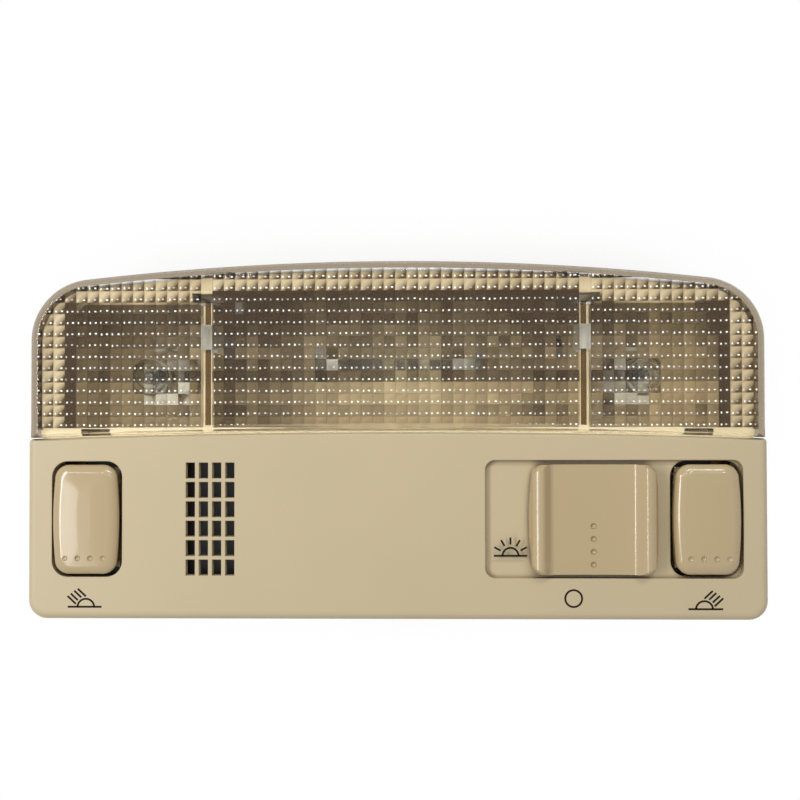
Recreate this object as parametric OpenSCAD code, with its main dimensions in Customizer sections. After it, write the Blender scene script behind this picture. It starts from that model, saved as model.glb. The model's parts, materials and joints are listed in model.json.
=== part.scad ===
// Car roof lamp with a middle dome light and two reading lights.
// It lies on its back: X runs across the face, Y up the face, Z out of the face.
// The origin is under the middle of the outline, on the surface that the back rests on.

/* [Face] */
// Width of the trim panel
panel_w = 178; // [170:0.5:186]
// Height of the whole face, from the panel's lower edge to the top of the lens
face_h = 86.4; // [82:0.2:92]
// Height of the panel part at its two sides
panel_h = 43.4; // [41:0.2:46]
// Height of the panel's face above the resting surface
face_z = 40; // [38:0.5:44]
// Depth of the trim skirt behind the face
skirt_d = 9; // [7:0.5:10]
// Wall of the trim panel and its skirt
panel_t = 2.2; // [1.8:0.1:2.6]
// Corner radius at the lower corners of the panel
panel_r = 4.6; // [3.5:0.1:7]
// Rounding of the panel's front edge
panel_edge_r = 1.9; // [1:0.1:2]
// Radius of the long arc where the panel meets the lens
joint_r = 2500; // [1500:50:5000]

/* [Lens] */
// Width of the lens
lens_w = 177; // [169:0.5:177]
// Wall of the lens
lens_t = 1.9; // [1.6:0.1:2.2]
// Radius of the lens's long upper edge
lens_top_r = 670; // [500:10:1200]
// Radius of the two upper corners of the lens
lens_corner_r = 15; // [13:0.5:17]
// Rounding of the lens's front edge
lens_edge_r = 2.6; // [2:0.1:3]
// Height of the lens's face above the panel's face
lens_rise = 1.1; // [0.6:0.1:1.6]
// Side of one square prism
prism_pitch = 2.76; // [2.5:0.02:3.2]
// Depth of one prism
prism_d = 0.4; // [0.2:0.05:0.6]
// Prism columns from the middle to each smooth strip
strip_column = 16; // [15:1:16]
// Width of each snap leg under the smooth strips
leg_w = 2.6; // [2.6:0.1:3.2]
// Length of each snap leg's section up the face
leg_h = 6; // [5:0.2:7]
// Length of the snap legs below the prisms
leg_l = 13; // [11:0.5:20]

/* [Lamp tray] */
// Width inside the lamp tray
tray_w = 158; // [154:0.5:159]
// Wall of the lamp tray
tray_t = 2; // [1.6:0.1:2.2]
// Height of the tray's outer floor above the resting surface
tray_z = 8; // [7.6:0.2:9]
// Depth of the tray's rim below the panel's face
rim_drop = 3.5; // [3.2:0.1:4.2]
// Upper edge of the middle chamber
chamber_top_y = 36.2; // [35:0.2:36.4]
// Upper edge of the two side chambers
side_top_y = 32.9; // [32:0.2:33.2]
// Lower edge of the three chambers
chamber_low_y = 3; // [2.8:0.1:3.6]
// Wall of each partition below its pocket
partition_t = 2.6; // [2:0.1:3]
// Width of each slot over the partitions
slot_w = 8; // [7:0.2:9]
// Height of each slot over the partitions
slot_h = 2.3; // [2:0.1:2.4]

/* [Keys] */
// Distance of each key from the middle
key_x = 74.4; // [74:0.1:75]
// Height of the row of keys on the face
row_y = -19; // [-19.6:0.1:-18.4]
// Width of a key
key_w = 15.6; // [14.6:0.1:16]
// Length of a key
key_l = 26.2; // [25:0.1:26.6]
// Rise of a key's crown above the panel's face
key_rise = 2.4; // [1.8:0.1:3]
// Gap around a key in its window
key_gap = 0.7; // [0.6:0.05:0.9]
// Radius of a key's trunnion pins
pin_r = 1; // [0.8:0.05:1.2]
// Play of a pin in its bore, on the radius
pin_play = 0.05; // [0.03:0.01:0.09]
// Distance from the trunnion to the plunger
plunger_arm = 18; // [17:0.5:19]

/* [Slide button] */
// Width of the slide button
knob_w = 30.6; // [29:0.2:31]
// Length of the slide button up the face
knob_l = 26.2; // [25:0.1:26.4]
// Distance of the button's middle from the face's middle
knob_x = 47.2; // [47:0.1:47.6]
// Rise of the two ridges above the panel's face
ridge_rise = 3.6; // [3:0.1:4.2]
// Rise of the hollow between the ridges above the panel's face
hollow_rise = 1.1; // [0.8:0.1:1.6]
// Travel of the slide button
slide_travel = 10; // [9:0.1:10]
// Depth of the recess that the button slides in
recess_d = 1.6; // [1.2:0.1:1.8]

/* [Grille] */
// Columns of the grille
grille_columns = 4; // [3:1:5]
// Rows of the grille
grille_rows = 6; // [5:1:6]
// Width of one grille hole
hole_w = 2.2; // [1.8:0.1:2.4]
// Height of one grille hole
hole_h = 3.8; // [3.2:0.1:4]
// Distance between grille columns
hole_pitch_x = 3.18; // [3:0.02:3.4]
// Distance between grille rows
hole_pitch_y = 4.66; // [4.5:0.02:4.8]
// Distance of the grille's middle from the face's middle
grille_x = -44.6; // [-46:0.1:-43]

/* [Bulbs] */
// Length of the tubular bulb over its caps
festoon_l = 42; // [41:0.5:43]
// Radius of the tubular bulb's glass
festoon_r = 5.25; // [4.5:0.05:5.3]
// Radius of the tubular bulb's caps
cap_r = 3.5; // [3.2:0.1:3.8]
// Height of the tubular bulb's axis above the chamber floor
festoon_h = 8; // [7:0.5:10]
// Height of the bulbs' middle line on the face
festoon_y = 19; // [18:0.2:20]
// Distance of each reading bulb from the middle
reading_x = 62; // [60.5:0.5:63]
// Height of the reading bulbs on the face
reading_y = 15.4; // [15:0.2:18]
// Radius of a reading bulb's glass
reading_r = 5.15; // [4.6:0.05:5.2]
// Length of a reading bulb
reading_l = 26.8; // [25:0.2:27]

/* [Switch carrier] */
// Height of the carrier plate's upper side above the resting surface
carrier_z = 30; // [29:0.5:30.4]
// Thickness of the carrier plate
carrier_t = 2; // [1.6:0.1:2.4]
// Radius of a plunger
plunger_r = 2; // [1.6:0.1:2.2]
// Radius of the spring's coils
coil_r = 2.4; // [2.2:0.05:2.5]
// Thickness of the conductor bars
bar_t = 0.6; // [0.5:0.05:0.8]
// Width of the conductor bars
bar_w = 3; // [2.4:0.1:3.2]
// Distance between the connector's blades
blade_pitch = 5; // [4.4:0.1:5.4]
// Thickness of the spring steel clips
clip_t = 0.6; // [0.5:0.05:0.8]

/* [Hidden] */
$fn = 48;

beige = "#c8b48c";
clear = [0.92, 0.93, 0.94, 0.45];
brass = "#c9a95c";
steel = "#c4c6c8";
black = "#242426";
tin = "#b9b6ad";

// A small overlap for pieces of one moulding, and the air between pieces that don't touch
eps = 0.02;
air = 0.3;
fit = 0.05;

// Levels
low_y = -face_h / 2;
high_y = face_h / 2;
joint_y = low_y + panel_h;
flange_z = face_z - skirt_d;
under_z = face_z - panel_t;
recess_z = face_z - recess_d;
recess_under_z = recess_z - panel_t;
rim_z = face_z - rim_drop;
rim_t = 2.4;
rim_under_z = rim_z - rim_t;
lens_z = face_z + lens_rise;
lens_in_z = lens_z - lens_t;
floor_z = tray_z + tray_t;
track_z = carrier_z + bar_t;

// Half widths and the centres of the long arcs
panel_hw = panel_w / 2;
lens_hw = lens_w / 2;
tray_hw = tray_w / 2;
joint_c = joint_y + panel_hw * panel_hw / (2 * joint_r) - joint_r;
lens_c = high_y - lens_top_r;
corner_x = lens_hw - lens_corner_r;
corner_y = lens_c + sqrt(pow(lens_top_r - lens_corner_r, 2) - corner_x * corner_x);
corner_a = asin(corner_x / (lens_top_r - lens_corner_r));
joint_gap = 0.25;

function arc(c, r, a0, a1, n) = [for (i = [0:n]) let (a = a0 + (a1 - a0) * i / n) c + r * [cos(a), sin(a)]];
function joint_at(x, off = 0) = joint_c + sqrt(pow(joint_r + off, 2) - x * x);

// Outline of the panel, moved in by e at its outer sides and by e_top along the lens
function panel_outline(e, e_top) =
    let (hw = panel_hw - e, yb = low_y + e, r = max(panel_r - e, 0.4), rt = 0.8, n = 20)
    let (yt = joint_at(hw - rt, -e_top) - rt)
    concat(
        arc([r - hw, yb + r], r, 180, 270, 8),
        arc([hw - r, yb + r], r, 270, 360, 8),
        arc([hw - rt, yt], rt, 0, 80, 2),
        [for (i = [0:n]) let (x = (hw - rt) * (1 - 2 * i / n)) [x, joint_at(x, -e_top)]],
        arc([rt - hw, yt], rt, 100, 180, 2));

// Outline of the lens, moved in by e at its outer sides and by e_low along the panel
function lens_outline(e, e_low) =
    let (hw = lens_hw - e, rc = lens_corner_r - e, n = 20, off = joint_gap + e_low)
    concat(
        [for (i = [0:n]) let (x = hw * (2 * i / n - 1)) [x, joint_at(x, off)]],
        arc([corner_x, corner_y], rc, 0, 90 - corner_a, 8),
        [for (i = [1:n - 1]) let (a = corner_a * (1 - 2 * i / n))
            [0, lens_c] + (lens_top_r - e) * [sin(a), cos(a)]],
        arc([-corner_x, corner_y], rc, 90 + corner_a, 180, 8));

// A closed skin over rings of points that lie one above the other, each ring with as many points
module skin(rings) {
    n = len(rings[0]);
    m = len(rings);
    polyhedron(
        points = [for (ring = rings) each ring],
        faces = concat(
            [[for (i = [0:n - 1]) i]],
            [for (k = [0:m - 2]) for (i = [0:n - 1]) let (j = (i + 1) % n)
                [k * n + i, (k + 1) * n + i, (k + 1) * n + j, k * n + j]],
            [[for (i = [n - 1:-1:0]) (m - 1) * n + i]]),
        convexity = 8);
}

function lift(ring, z) = [for (p = ring) [p[0], p[1], z]];

module at_both(x) {
    for (side = [-1, 1]) {
        translate([side * x, 0, 0]) children();
    }
}

// A block given by its two corners
module block(a, b) {
    translate([min(a[0], b[0]), min(a[1], b[1]), min(a[2], b[2])])
        cube([abs(b[0] - a[0]), abs(b[1] - a[1]), abs(b[2] - a[2])]);
}

module round_block(w, l, h, r) {
    linear_extrude(h) polygon(concat(
        arc([w / 2 - r, l / 2 - r], r, 0, 90, 8),
        arc([r - w / 2, l / 2 - r], r, 90, 180, 8),
        arc([r - w / 2, r - l / 2], r, 180, 270, 8),
        arc([w / 2 - r, r - l / 2], r, 270, 360, 8)));
}

// A flat bar bent at right angles along a path of corner points
module bent_bar(path, size) {
    for (i = [0:len(path) - 2]) {
        block([for (k = [0:2]) min(path[i][k], path[i + 1][k]) - size[k] / 2],
            [for (k = [0:2]) max(path[i][k], path[i + 1][k]) + size[k] / 2]);
    }
}

// Housing

edge_steps = 5;
ear_t = 2.2;
ear_gap = 0.35;
ear_r = 2.6;
trunnion_y = row_y + key_l / 2 - 2.4;
trunnion_z = recess_under_z - 1.9;
window_w = key_w + 2 * key_gap;
window_l = key_l + 2 * key_gap + 0.2;
window_r = 3.8;
key_skirt_w = key_w - 1.2;
recess_margin = 1;
recess_low_x = knob_x - knob_w / 2 - slide_travel - 0.4;
recess_high_x = key_x + window_w / 2;
recess_l = knob_l + 2 * recess_margin;
boss_r = 3;
boss_low_y = low_y + 7.6;
boss_high_y = joint_y - 5.8;
boss_left_x = -reading_x + 7;
boss_right_x = key_x - key_w / 2 - 5.6;
boss_places = [[boss_left_x, boss_low_y], [boss_left_x, boss_high_y],
    [boss_right_x, boss_low_y], [boss_right_x, boss_high_y]];
screw_r = 1.25;
stem_w = 6;
stem_l = 10;
strip_x = (strip_column + 0.5) * prism_pitch;
pocket_t = 0.9;
pocket_w = leg_w + 2 * fit + 2 * pocket_t;
leg_y = 24.8;
barb_d = 0.5;
pocket_low_y = leg_y - leg_h / 2 - 1.2;
slot_y = side_top_y + 0.4;
holder_r = 7;
foot_w = 6;
foot_x = festoon_l / 2 - 0.45;
tongue_x = 73;
tongue_w = 6.4;
tongue_t = 1.2;
tongue_y = joint_y + joint_gap + 1.45;

module panel_shell() {
    difference() {
        skin(concat(
            [lift(panel_outline(0, 0), flange_z)],
            [for (i = [0:edge_steps]) let (a = 90 * i / edge_steps, e = panel_edge_r * (1 - cos(a)))
                lift(panel_outline(e, e * 0.3), face_z - panel_edge_r * (1 - sin(a)))]));
        translate([0, 0, flange_z - 1]) linear_extrude(under_z - flange_z + 1)
            polygon(panel_outline(panel_t, panel_t));
    }
}

module tray_outline(grow) {
    x = tray_hw + grow;
    inner = strip_x + pocket_w / 2;
    polygon([[-x, chamber_low_y - grow], [x, chamber_low_y - grow], [x, side_top_y + grow - 3],
        [x - 3, side_top_y + grow], [inner + grow, side_top_y + grow], [inner + grow, chamber_top_y + grow],
        [-inner - grow, chamber_top_y + grow], [-inner - grow, side_top_y + grow],
        [3 - x, side_top_y + grow], [-x, side_top_y + grow - 3]]);
}

module chambers() {
    inner = strip_x - partition_t / 2;
    outer = strip_x + partition_t / 2;
    translate([0, 0, floor_z]) linear_extrude(face_z) {
        polygon([[-inner, chamber_low_y], [inner, chamber_low_y], [inner, chamber_top_y],
            [-inner, chamber_top_y]]);
        for (s = [-1, 1]) {
            polygon([[s * outer, chamber_low_y], [s * tray_hw, chamber_low_y],
                [s * tray_hw, side_top_y - 3], [s * (tray_hw - 3), side_top_y],
                [s * outer, side_top_y]]);
        }
    }
}

module pocket_block() {
    translate([-pocket_w / 2, pocket_low_y, tray_z])
        cube([pocket_w, chamber_top_y + tray_t - pocket_low_y, rim_z - tray_z]);
}

module pocket_cut() {
    w = leg_w + 2 * fit;
    translate([-w / 2, leg_y - leg_h / 2 - fit, tray_z - 1]) cube([w, leg_h + 2 * fit, face_z]);
    // Groove that the leg's barb slides in
    translate([-w / 2, leg_y - leg_h / 2 - barb_d - fit, tray_z - 1]) cube([w, leg_h, face_z]);
    translate([-slot_w / 2, slot_y, tray_z - 1]) cube([slot_w, slot_h, face_z]);
    translate([-clip_w / 2 - fit, slot_y - clip_t - fit, tray_z - 1])
        cube([clip_w + 2 * fit, clip_t + fit + eps, face_z]);
    translate([-clip_w / 2 - 0.4, slot_y, tray_z - 1])
        cube([clip_w + 0.8, chamber_top_y - slot_y + tray_t + 1, rim_under_z - tray_z - 1]);
}

module key_ears(x, top_z) {
    for (s = [-1, 1]) {
        translate([x + s * (key_skirt_w / 2 + ear_gap + ear_t / 2) - ear_t / 2, trunnion_y, 0]) {
            translate([0, -ear_r, trunnion_z]) cube([ear_t, 2 * ear_r, top_z - trunnion_z + eps]);
            translate([0, 0, trunnion_z]) rotate([0, 90, 0]) cylinder(r = ear_r, h = ear_t);
        }
    }
}

module grille_cut() {
    for (i = [0:grille_columns - 1]) {
        for (j = [0:grille_rows - 1]) {
            translate([grille_x + (i - (grille_columns - 1) / 2) * hole_pitch_x - hole_w / 2,
                row_y + (j - (grille_rows - 1) / 2) * hole_pitch_y - hole_h / 2, under_z - 1])
                cube([hole_w, hole_h, panel_t + 2]);
        }
    }
}

module housing() {
    color(beige) difference() {
        union() {
            panel_shell();
            // Rim that carries the lens, and the tray below it
            translate([0, 0, rim_under_z]) linear_extrude(rim_t)
                polygon(lens_outline(lens_t + air, -joint_gap - 1));
            difference() {
                translate([0, 0, tray_z]) linear_extrude(rim_z - tray_z) tray_outline(tray_t);
                chambers();
            }
            at_both(strip_x) pocket_block();
            // Floor of the slide recess, ears for the keys and bosses for the carrier
            translate([(recess_low_x + recess_high_x) / 2, row_y, recess_under_z])
                round_block(recess_high_x - recess_low_x + 3, recess_l + 3, under_z - recess_under_z + eps,
                    3);
            key_ears(-key_x, under_z);
            key_ears(key_x, recess_under_z);
            for (p = boss_places) {
                translate([p[0], p[1], carrier_z]) cylinder(r = boss_r, h = under_z - carrier_z + eps);
            }
        }
        // Rim and walls are open over the chambers
        chambers();
        at_both(strip_x) pocket_cut();
        translate([(recess_low_x + recess_high_x) / 2, row_y, recess_z])
            round_block(recess_high_x - recess_low_x, recess_l, recess_d + 1, 2.4);
        for (x = [-key_x, key_x]) {
            translate([x, row_y, recess_under_z - 1])
                round_block(window_w, window_l, panel_t + recess_d + 3, window_r);
            translate([x, trunnion_y, trunnion_z]) rotate([0, 90, 0])
                cylinder(r = pin_r + pin_play, h = key_w + 12, center = true);
        }
        // Slot for the button's stem
        block([knob_x - slide_travel - stem_w / 2 - air, row_y - stem_l / 2 - air, recess_under_z - 1],
            [knob_x + stem_w / 2 + air, row_y + stem_l / 2 + air, face_z]);
        grille_cut();
        // The wall along the lens stops above the flange and leaves room for the conductors
        block([panel_t - panel_hw, joint_y - panel_t - 1, flange_z - 1],
            [panel_hw - panel_t, chamber_low_y - tray_t, flange_z + 2]);
        for (p = boss_places) {
            translate([p[0], p[1], carrier_z - 1]) cylinder(r = screw_r, h = 7);
        }
        // Bores for the bulb holders, slots for the clip feet and for the lens tongues
        at_both(reading_x) translate([0, reading_y, tray_z - 1]) cylinder(r = holder_r + 0.1, h = tray_t + 2);
        at_both(foot_x) translate([0, festoon_y, tray_z + tray_t / 2])
            cube([clip_t + 2 * fit, foot_w + 2 * fit, tray_t + 2], center = true);
        at_both(tongue_x) translate([0, tongue_y, rim_z])
            cube([tongue_w + 0.6, tongue_t + 0.3, 12], center = true);
    }
}

// Lens

module lens_solid(e, e_low, top_z, edge_r) {
    skin(concat(
        [lift(lens_outline(e, e_low), flange_z)],
        [for (i = [0:edge_steps]) let (a = 90 * i / edge_steps, d = edge_r * (1 - cos(a)))
            lift(lens_outline(e + d, e_low + d * 0.4), top_z - edge_r * (1 - sin(a)))]));
}

// True where all four corners of a prism lie inside the lens's wall
function cell_fits(x, y) =
    let (e = lens_t + 0.1, x1 = max(abs(x), abs(x + prism_pitch)), x0 = min(abs(x), abs(x + prism_pitch)),
        y1 = y + prism_pitch)
    let (over_wall = y > joint_at(x0, joint_gap + lens_t))
    let (on_arc = norm([x1, y1 - lens_c]) < lens_top_r - e)
    let (in_corner = x1 < corner_x || y1 < corner_y
        || norm([x1 - corner_x, y1 - corner_y]) < lens_corner_r - e)
    x1 < lens_hw - e && on_arc && in_corner && over_wall;

function is_strip(i) = i == strip_column || i == -strip_column - 1;

// The prisms: one closed sheet, with a four sided point under each square
module prism_sheet() {
    columns = floor(lens_hw / prism_pitch);
    rows = ceil(face_h / 2 / prism_pitch);
    step = 0.1;
    nx = 2 * columns;
    base = lens_in_z - step;
    top = lens_in_z + lens_t / 3;
    function px(i) = (i - columns) * prism_pitch;
    function py(j) = chamber_low_y - 0.1 + j * prism_pitch;
    function used(i, j) = i >= 0 && i < nx && j >= 0 && j < rows && !is_strip(i - columns)
        && cell_fits(px(i), py(j));
    grid = (nx + 1) * (rows + 1);
    function low(i, j) = j * (nx + 1) + i;
    function high(i, j) = grid + low(i, j);
    function tip(i, j) = 2 * grid + j * nx + i;
    cells = [for (j = [0:rows - 1]) for (i = [0:nx - 1]) if (used(i, j)) [i, j]];
    polyhedron(
        points = concat(
            [for (j = [0:rows]) for (i = [0:nx]) [px(i), py(j), base]],
            [for (j = [0:rows]) for (i = [0:nx]) [px(i), py(j), top]],
            [for (j = [0:rows - 1]) for (i = [0:nx - 1])
                [px(i) + prism_pitch / 2, py(j) + prism_pitch / 2, base - prism_d]]),
        faces = [for (c = cells) let (i = c[0], j = c[1]) each concat(
            [[high(i, j), high(i, j + 1), high(i + 1, j + 1), high(i + 1, j)],
                [low(i, j), low(i + 1, j), tip(i, j)],
                [low(i + 1, j), low(i + 1, j + 1), tip(i, j)],
                [low(i + 1, j + 1), low(i, j + 1), tip(i, j)],
                [low(i, j + 1), low(i, j), tip(i, j)]],
            used(i, j - 1) ? [] : [[low(i, j), high(i, j), high(i + 1, j), low(i + 1, j)]],
            used(i, j + 1) ? [] : [[low(i + 1, j + 1), high(i + 1, j + 1), high(i, j + 1), low(i, j + 1)]],
            used(i - 1, j) ? [] : [[low(i, j + 1), high(i, j + 1), high(i, j), low(i, j)]],
            used(i + 1, j) ? [] : [[low(i + 1, j), high(i + 1, j), high(i + 1, j + 1), low(i + 1, j + 1)]])],
        convexity = 10);
}

// Snap leg with a tapered tip, and the barb that holds it in its pocket
module lens_leg() {
    low_z = lens_in_z - leg_l;
    tip = 0.5;
    hull() {
        block([-leg_w / 2, leg_y - leg_h / 2, low_z + 3],
            [leg_w / 2, leg_y + leg_h / 2, lens_in_z + lens_t / 2]);
        block([tip - leg_w / 2, leg_y - leg_h / 2 + tip, low_z],
            [leg_w / 2 - tip, leg_y + leg_h / 2 - tip, low_z + 1]);
    }
    hull() {
        block([-leg_w / 2, leg_y - leg_h / 2 - barb_d, low_z + 5.6], [leg_w / 2, leg_y, low_z + 6]);
        block([-leg_w / 2, leg_y - leg_h / 2, low_z + 3.4], [leg_w / 2, leg_y, low_z + 5]);
    }
}

// Tongue that hooks into the rim: a flared root and a tapered tip
module lens_tongue() {
    half_w = tongue_w / 2;
    half_t = tongue_t / 2;
    tip = 0.3;
    hull() {
        block([-half_w - 0.5, tongue_y - half_t, rim_z + 1], [half_w + 0.5, tongue_y + half_t, rim_z + 1.4]);
        block([-half_w, tongue_y - half_t, rim_z - 1], [half_w, tongue_y + half_t, rim_z]);
    }
    hull() {
        block([-half_w, tongue_y - half_t, rim_under_z], [half_w, tongue_y + half_t, rim_z - 0.5]);
        block([tip - half_w, tongue_y - half_t + tip, rim_under_z - 1.5],
            [half_w - tip, tongue_y + half_t - tip, rim_under_z]);
    }
}

module lens() {
    color(clear) union() {
        difference() {
            lens_solid(0, 0, lens_z, lens_edge_r);
            translate([0, 0, flange_z - 1]) linear_extrude(lens_in_z - flange_z + 1)
                polygon(lens_outline(lens_t, lens_t));
            // The wall along the panel ends on the rim
            block([0.1 - lens_hw + lens_t, joint_y - 3, flange_z - 1],
                [lens_hw - lens_t - 0.1, chamber_low_y + 3, rim_z + air]);
        }
        prism_sheet();
        at_both(strip_x) lens_leg();
        at_both(tongue_x) lens_tongue();
    }
}

// Keys

key_top_z = face_z + key_rise;
key_pad_z = trunnion_z - 0.6;
dimple_r = 0.62;
dimple_pitch = 3.05;

// Outline of a key: long sides a little bowed, corners round
function key_outline(w, l, r, bow) =
    let (n = 6)
    concat(
        arc([w / 2 - r, l / 2 - r], r, 0, 90, 6),
        arc([r - w / 2, l / 2 - r], r, 90, 180, 6),
        [for (i = [1:n - 1]) let (t = 2 * i / n - 1) [-w / 2 - bow * (1 - t * t), -t * (l / 2 - r)]],
        arc([r - w / 2, r - l / 2], r, 180, 270, 6),
        arc([w / 2 - r, r - l / 2], r, 270, 360, 6),
        [for (i = [1:n - 1]) let (t = 2 * i / n - 1) [w / 2 + bow * (1 - t * t), t * (l / 2 - r)]]);

module key() {
    bow = 0.45;
    w = key_w - 2 * bow;
    drop = 1.9;
    inset = 2.7;
    difference() {
        union() {
            translate([0, row_y, 0]) skin(concat(
                [lift(key_outline(w - 0.8, key_l - 0.8, 3, bow), under_z - recess_d)],
                [for (i = [0:edge_steps]) let (a = 90 * i / edge_steps, e = inset * (1 - cos(a)))
                    lift(key_outline(w - 2 * e, key_l - 2 * e, 3.4 - e * 0.5, bow),
                        key_top_z - drop * (1 - sin(a)))]));
            // Skirt below the window
            block([-key_skirt_w / 2, row_y - key_l / 2 + 1.2, key_pad_z],
                [key_skirt_w / 2, row_y + key_l / 2 - 0.8, under_z - recess_d + 1]);
            translate([0, trunnion_y, trunnion_z]) rotate([0, 90, 0])
                cylinder(r = pin_r, h = key_skirt_w + 2 * ear_gap + 2 * ear_t, center = true);
        }
        // Hollow underside, with the pad that meets the plunger left solid
        block([-key_skirt_w / 2 + 1.4, trunnion_y - 2.4, key_pad_z - 1],
            [key_skirt_w / 2 - 1.4, trunnion_y - plunger_arm + 4, key_top_z - 4]);
        for (i = [0:3]) {
            translate([(i - 1.5) * dimple_pitch, row_y - key_l / 2 + 3.9, key_top_z + dimple_r * 0.45])
                sphere(r = dimple_r);
        }
    }
}

module key_left() { color(beige) translate([-key_x, 0, 0]) key(); }
module key_right() { color(beige) translate([key_x, 0, 0]) key(); }

// Slide button, carriage and contact

knob_low_z = recess_z + air;
ridge_z = face_z + ridge_rise;
hollow_z = face_z + hollow_rise;
carriage_z = recess_under_z - air;
carriage_t = 3;
carriage_w = 24;
carriage_l = 20;
stem_end_z = carriage_z - carriage_t + 0.6;

// Section of the slide button across X, from one outer foot over both ridges to the other
function knob_section() =
    let (hw = knob_w / 2, crest = hw - 2.7, foot = hw - 6.2)
    concat(
        [[-hw, knob_low_z]],
        [for (i = [0:6]) let (a = 180 - 90 * i / 6) [-crest + 2.7 * cos(a), ridge_z - 3 + 3 * sin(a)]],
        [for (i = [1:5]) let (t = i / 5) [-crest + (crest - foot) * (t * 0.8 + 0.2 * t * t),
            hollow_z + (ridge_z - hollow_z) * (1 + cos(180 * t)) / 2]],
        [for (i = [0:5]) let (x = -foot + 1 + 2 * (foot - 1) * i / 5) [x,
            hollow_z - 0.35 * (1 - pow(x / foot, 2))]],
        [for (i = [5:-1:1]) let (t = i / 5) [crest - (crest - foot) * (t * 0.8 + 0.2 * t * t),
            hollow_z + (ridge_z - hollow_z) * (1 + cos(180 * t)) / 2]],
        [for (i = [0:6]) let (a = 90 - 90 * i / 6) [crest + 2.7 * cos(a), ridge_z - 3 + 3 * sin(a)]],
        [[hw, knob_low_z]]);

module slide_knob() {
    bow = 0.6;
    w = knob_w - 2 * bow;
    color(beige) translate([knob_x, row_y, 0]) difference() {
        union() {
            intersection() {
                rotate([90, 0, 0]) linear_extrude(knob_l + 2, center = true) polygon(knob_section());
                skin(concat(
                    [lift(key_outline(w, knob_l, 2.6, bow), knob_low_z - eps)],
                    [for (i = [0:edge_steps]) let (a = 90 * i / edge_steps, e = 2.2 * (1 - cos(a)))
                        lift(key_outline(w - e, knob_l - 2 * e, 2.6 - e * 0.3, bow),
                            ridge_z + 0.4 - 2.6 * (1 - sin(a)))]));
            }
            // Stem through the slot, with its head in the carriage
            block([-stem_w / 2, -stem_l / 2, stem_end_z], [stem_w / 2, stem_l / 2, hollow_z - 1]);
        }
        for (i = [0:3]) {
            translate([0, -1.6 - i * dimple_pitch, hollow_z + dimple_r * 0.1]) sphere(r = dimple_r);
        }
    }
}

notch_pitch = slide_travel / 2;

module slide_carriage() {
    color(black) translate([knob_x, row_y, 0]) difference() {
        block([-carriage_w / 2, -carriage_l / 2, carriage_z - carriage_t],
            [carriage_w / 2, carriage_l / 2, carriage_z]);
        block([-stem_w / 2 - fit, -stem_l / 2 - fit, carriage_z - carriage_t - 1],
            [stem_w / 2 + fit, stem_l / 2 + fit, face_z]);
        // Notches for the detent, one for each place of the button
        for (i = [-1:1]) {
            translate([i * notch_pitch, carriage_l / 2, carriage_z - carriage_t / 2])
                cylinder(r = 1.2, h = carriage_t + 2, center = true);
        }
        // Seat of the contact
        block([-4, -8.5, carriage_z - carriage_t - 1],
            [-stem_w / 2 - 0.8 + 9, -5.6, carriage_z - carriage_t + 0.5]);
    }
}

contact_reach = 5;

module slide_contact() {
    z = carriage_z - carriage_t;
    foot_z = track_z + air;
    color(brass) translate([knob_x, row_y, 0]) union() {
        block([-2, -8.4, z - bar_t], [2, 8.4, z]);
        for (s = [-1, 1]) {
            block([-2, s * 8.4, foot_z], [2, s * 7.8, z]);
            translate([0, s * 7.6, foot_z + 0.6]) rotate([0, 90, 0]) cylinder(r = 0.6, h = 3, center = true);
        }
    }
}

// Leaf spring on a post of the carrier, with its rounded nose at the middle notch

detent_x = knob_x;
detent_y = row_y + carriage_l / 2;
leaf_w = 7.4;
nose_r = 1.1;

module detent_spring() {
    z0 = carriage_z - carriage_t;
    color(steel) union() {
        block([detent_x - leaf_w, detent_y + 1.5, z0], [detent_x + leaf_w, detent_y + 1.9, carriage_z - 0.4]);
        for (s = [-1, 1]) {
            block([detent_x + s * leaf_w, detent_y + 1.5, z0],
                [detent_x + s * (leaf_w + 0.4), detent_y + 3.8, carriage_z - 0.4]);
        }
        translate([detent_x, detent_y + nose_r + air, z0]) cylinder(r = nose_r, h = carriage_t - 0.4);
    }
}

// Carrier moulding with guides, connector shroud and rim

plunger_y = trunnion_y - plunger_arm;
tube_r = 4;
tube_bore_r = 3.2;
tube_low_z = carrier_z - 14;
carrier_hw = panel_hw - panel_t - 1.2;
carrier_low_y = low_y + panel_t + 1;
carrier_high_y = joint_y - panel_t + 0.8;
shroud_y = -21;
shroud_w = 26;
shroud_l = 13;
shroud_t = 1.5;
socket_d = 12;
blade_w = 2.8;
blade_low_z = 5;
hood_hw = 7;
hood_hl = 15;
hood_h = 3;
hood_t = 1;
ground_y = boss_high_y - boss_r - 0.5 - bar_w / 2;
supply_y = boss_low_y + boss_r + air + bar_w / 2;

module blade_slots() {
    for (i = [-1:1]) {
        translate([i * blade_pitch, shroud_y, carrier_z / 2])
            cube([blade_w + 2 * fit, bar_t + 0.2 + 2 * fit, carrier_z + 2], center = true);
    }
}

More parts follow.
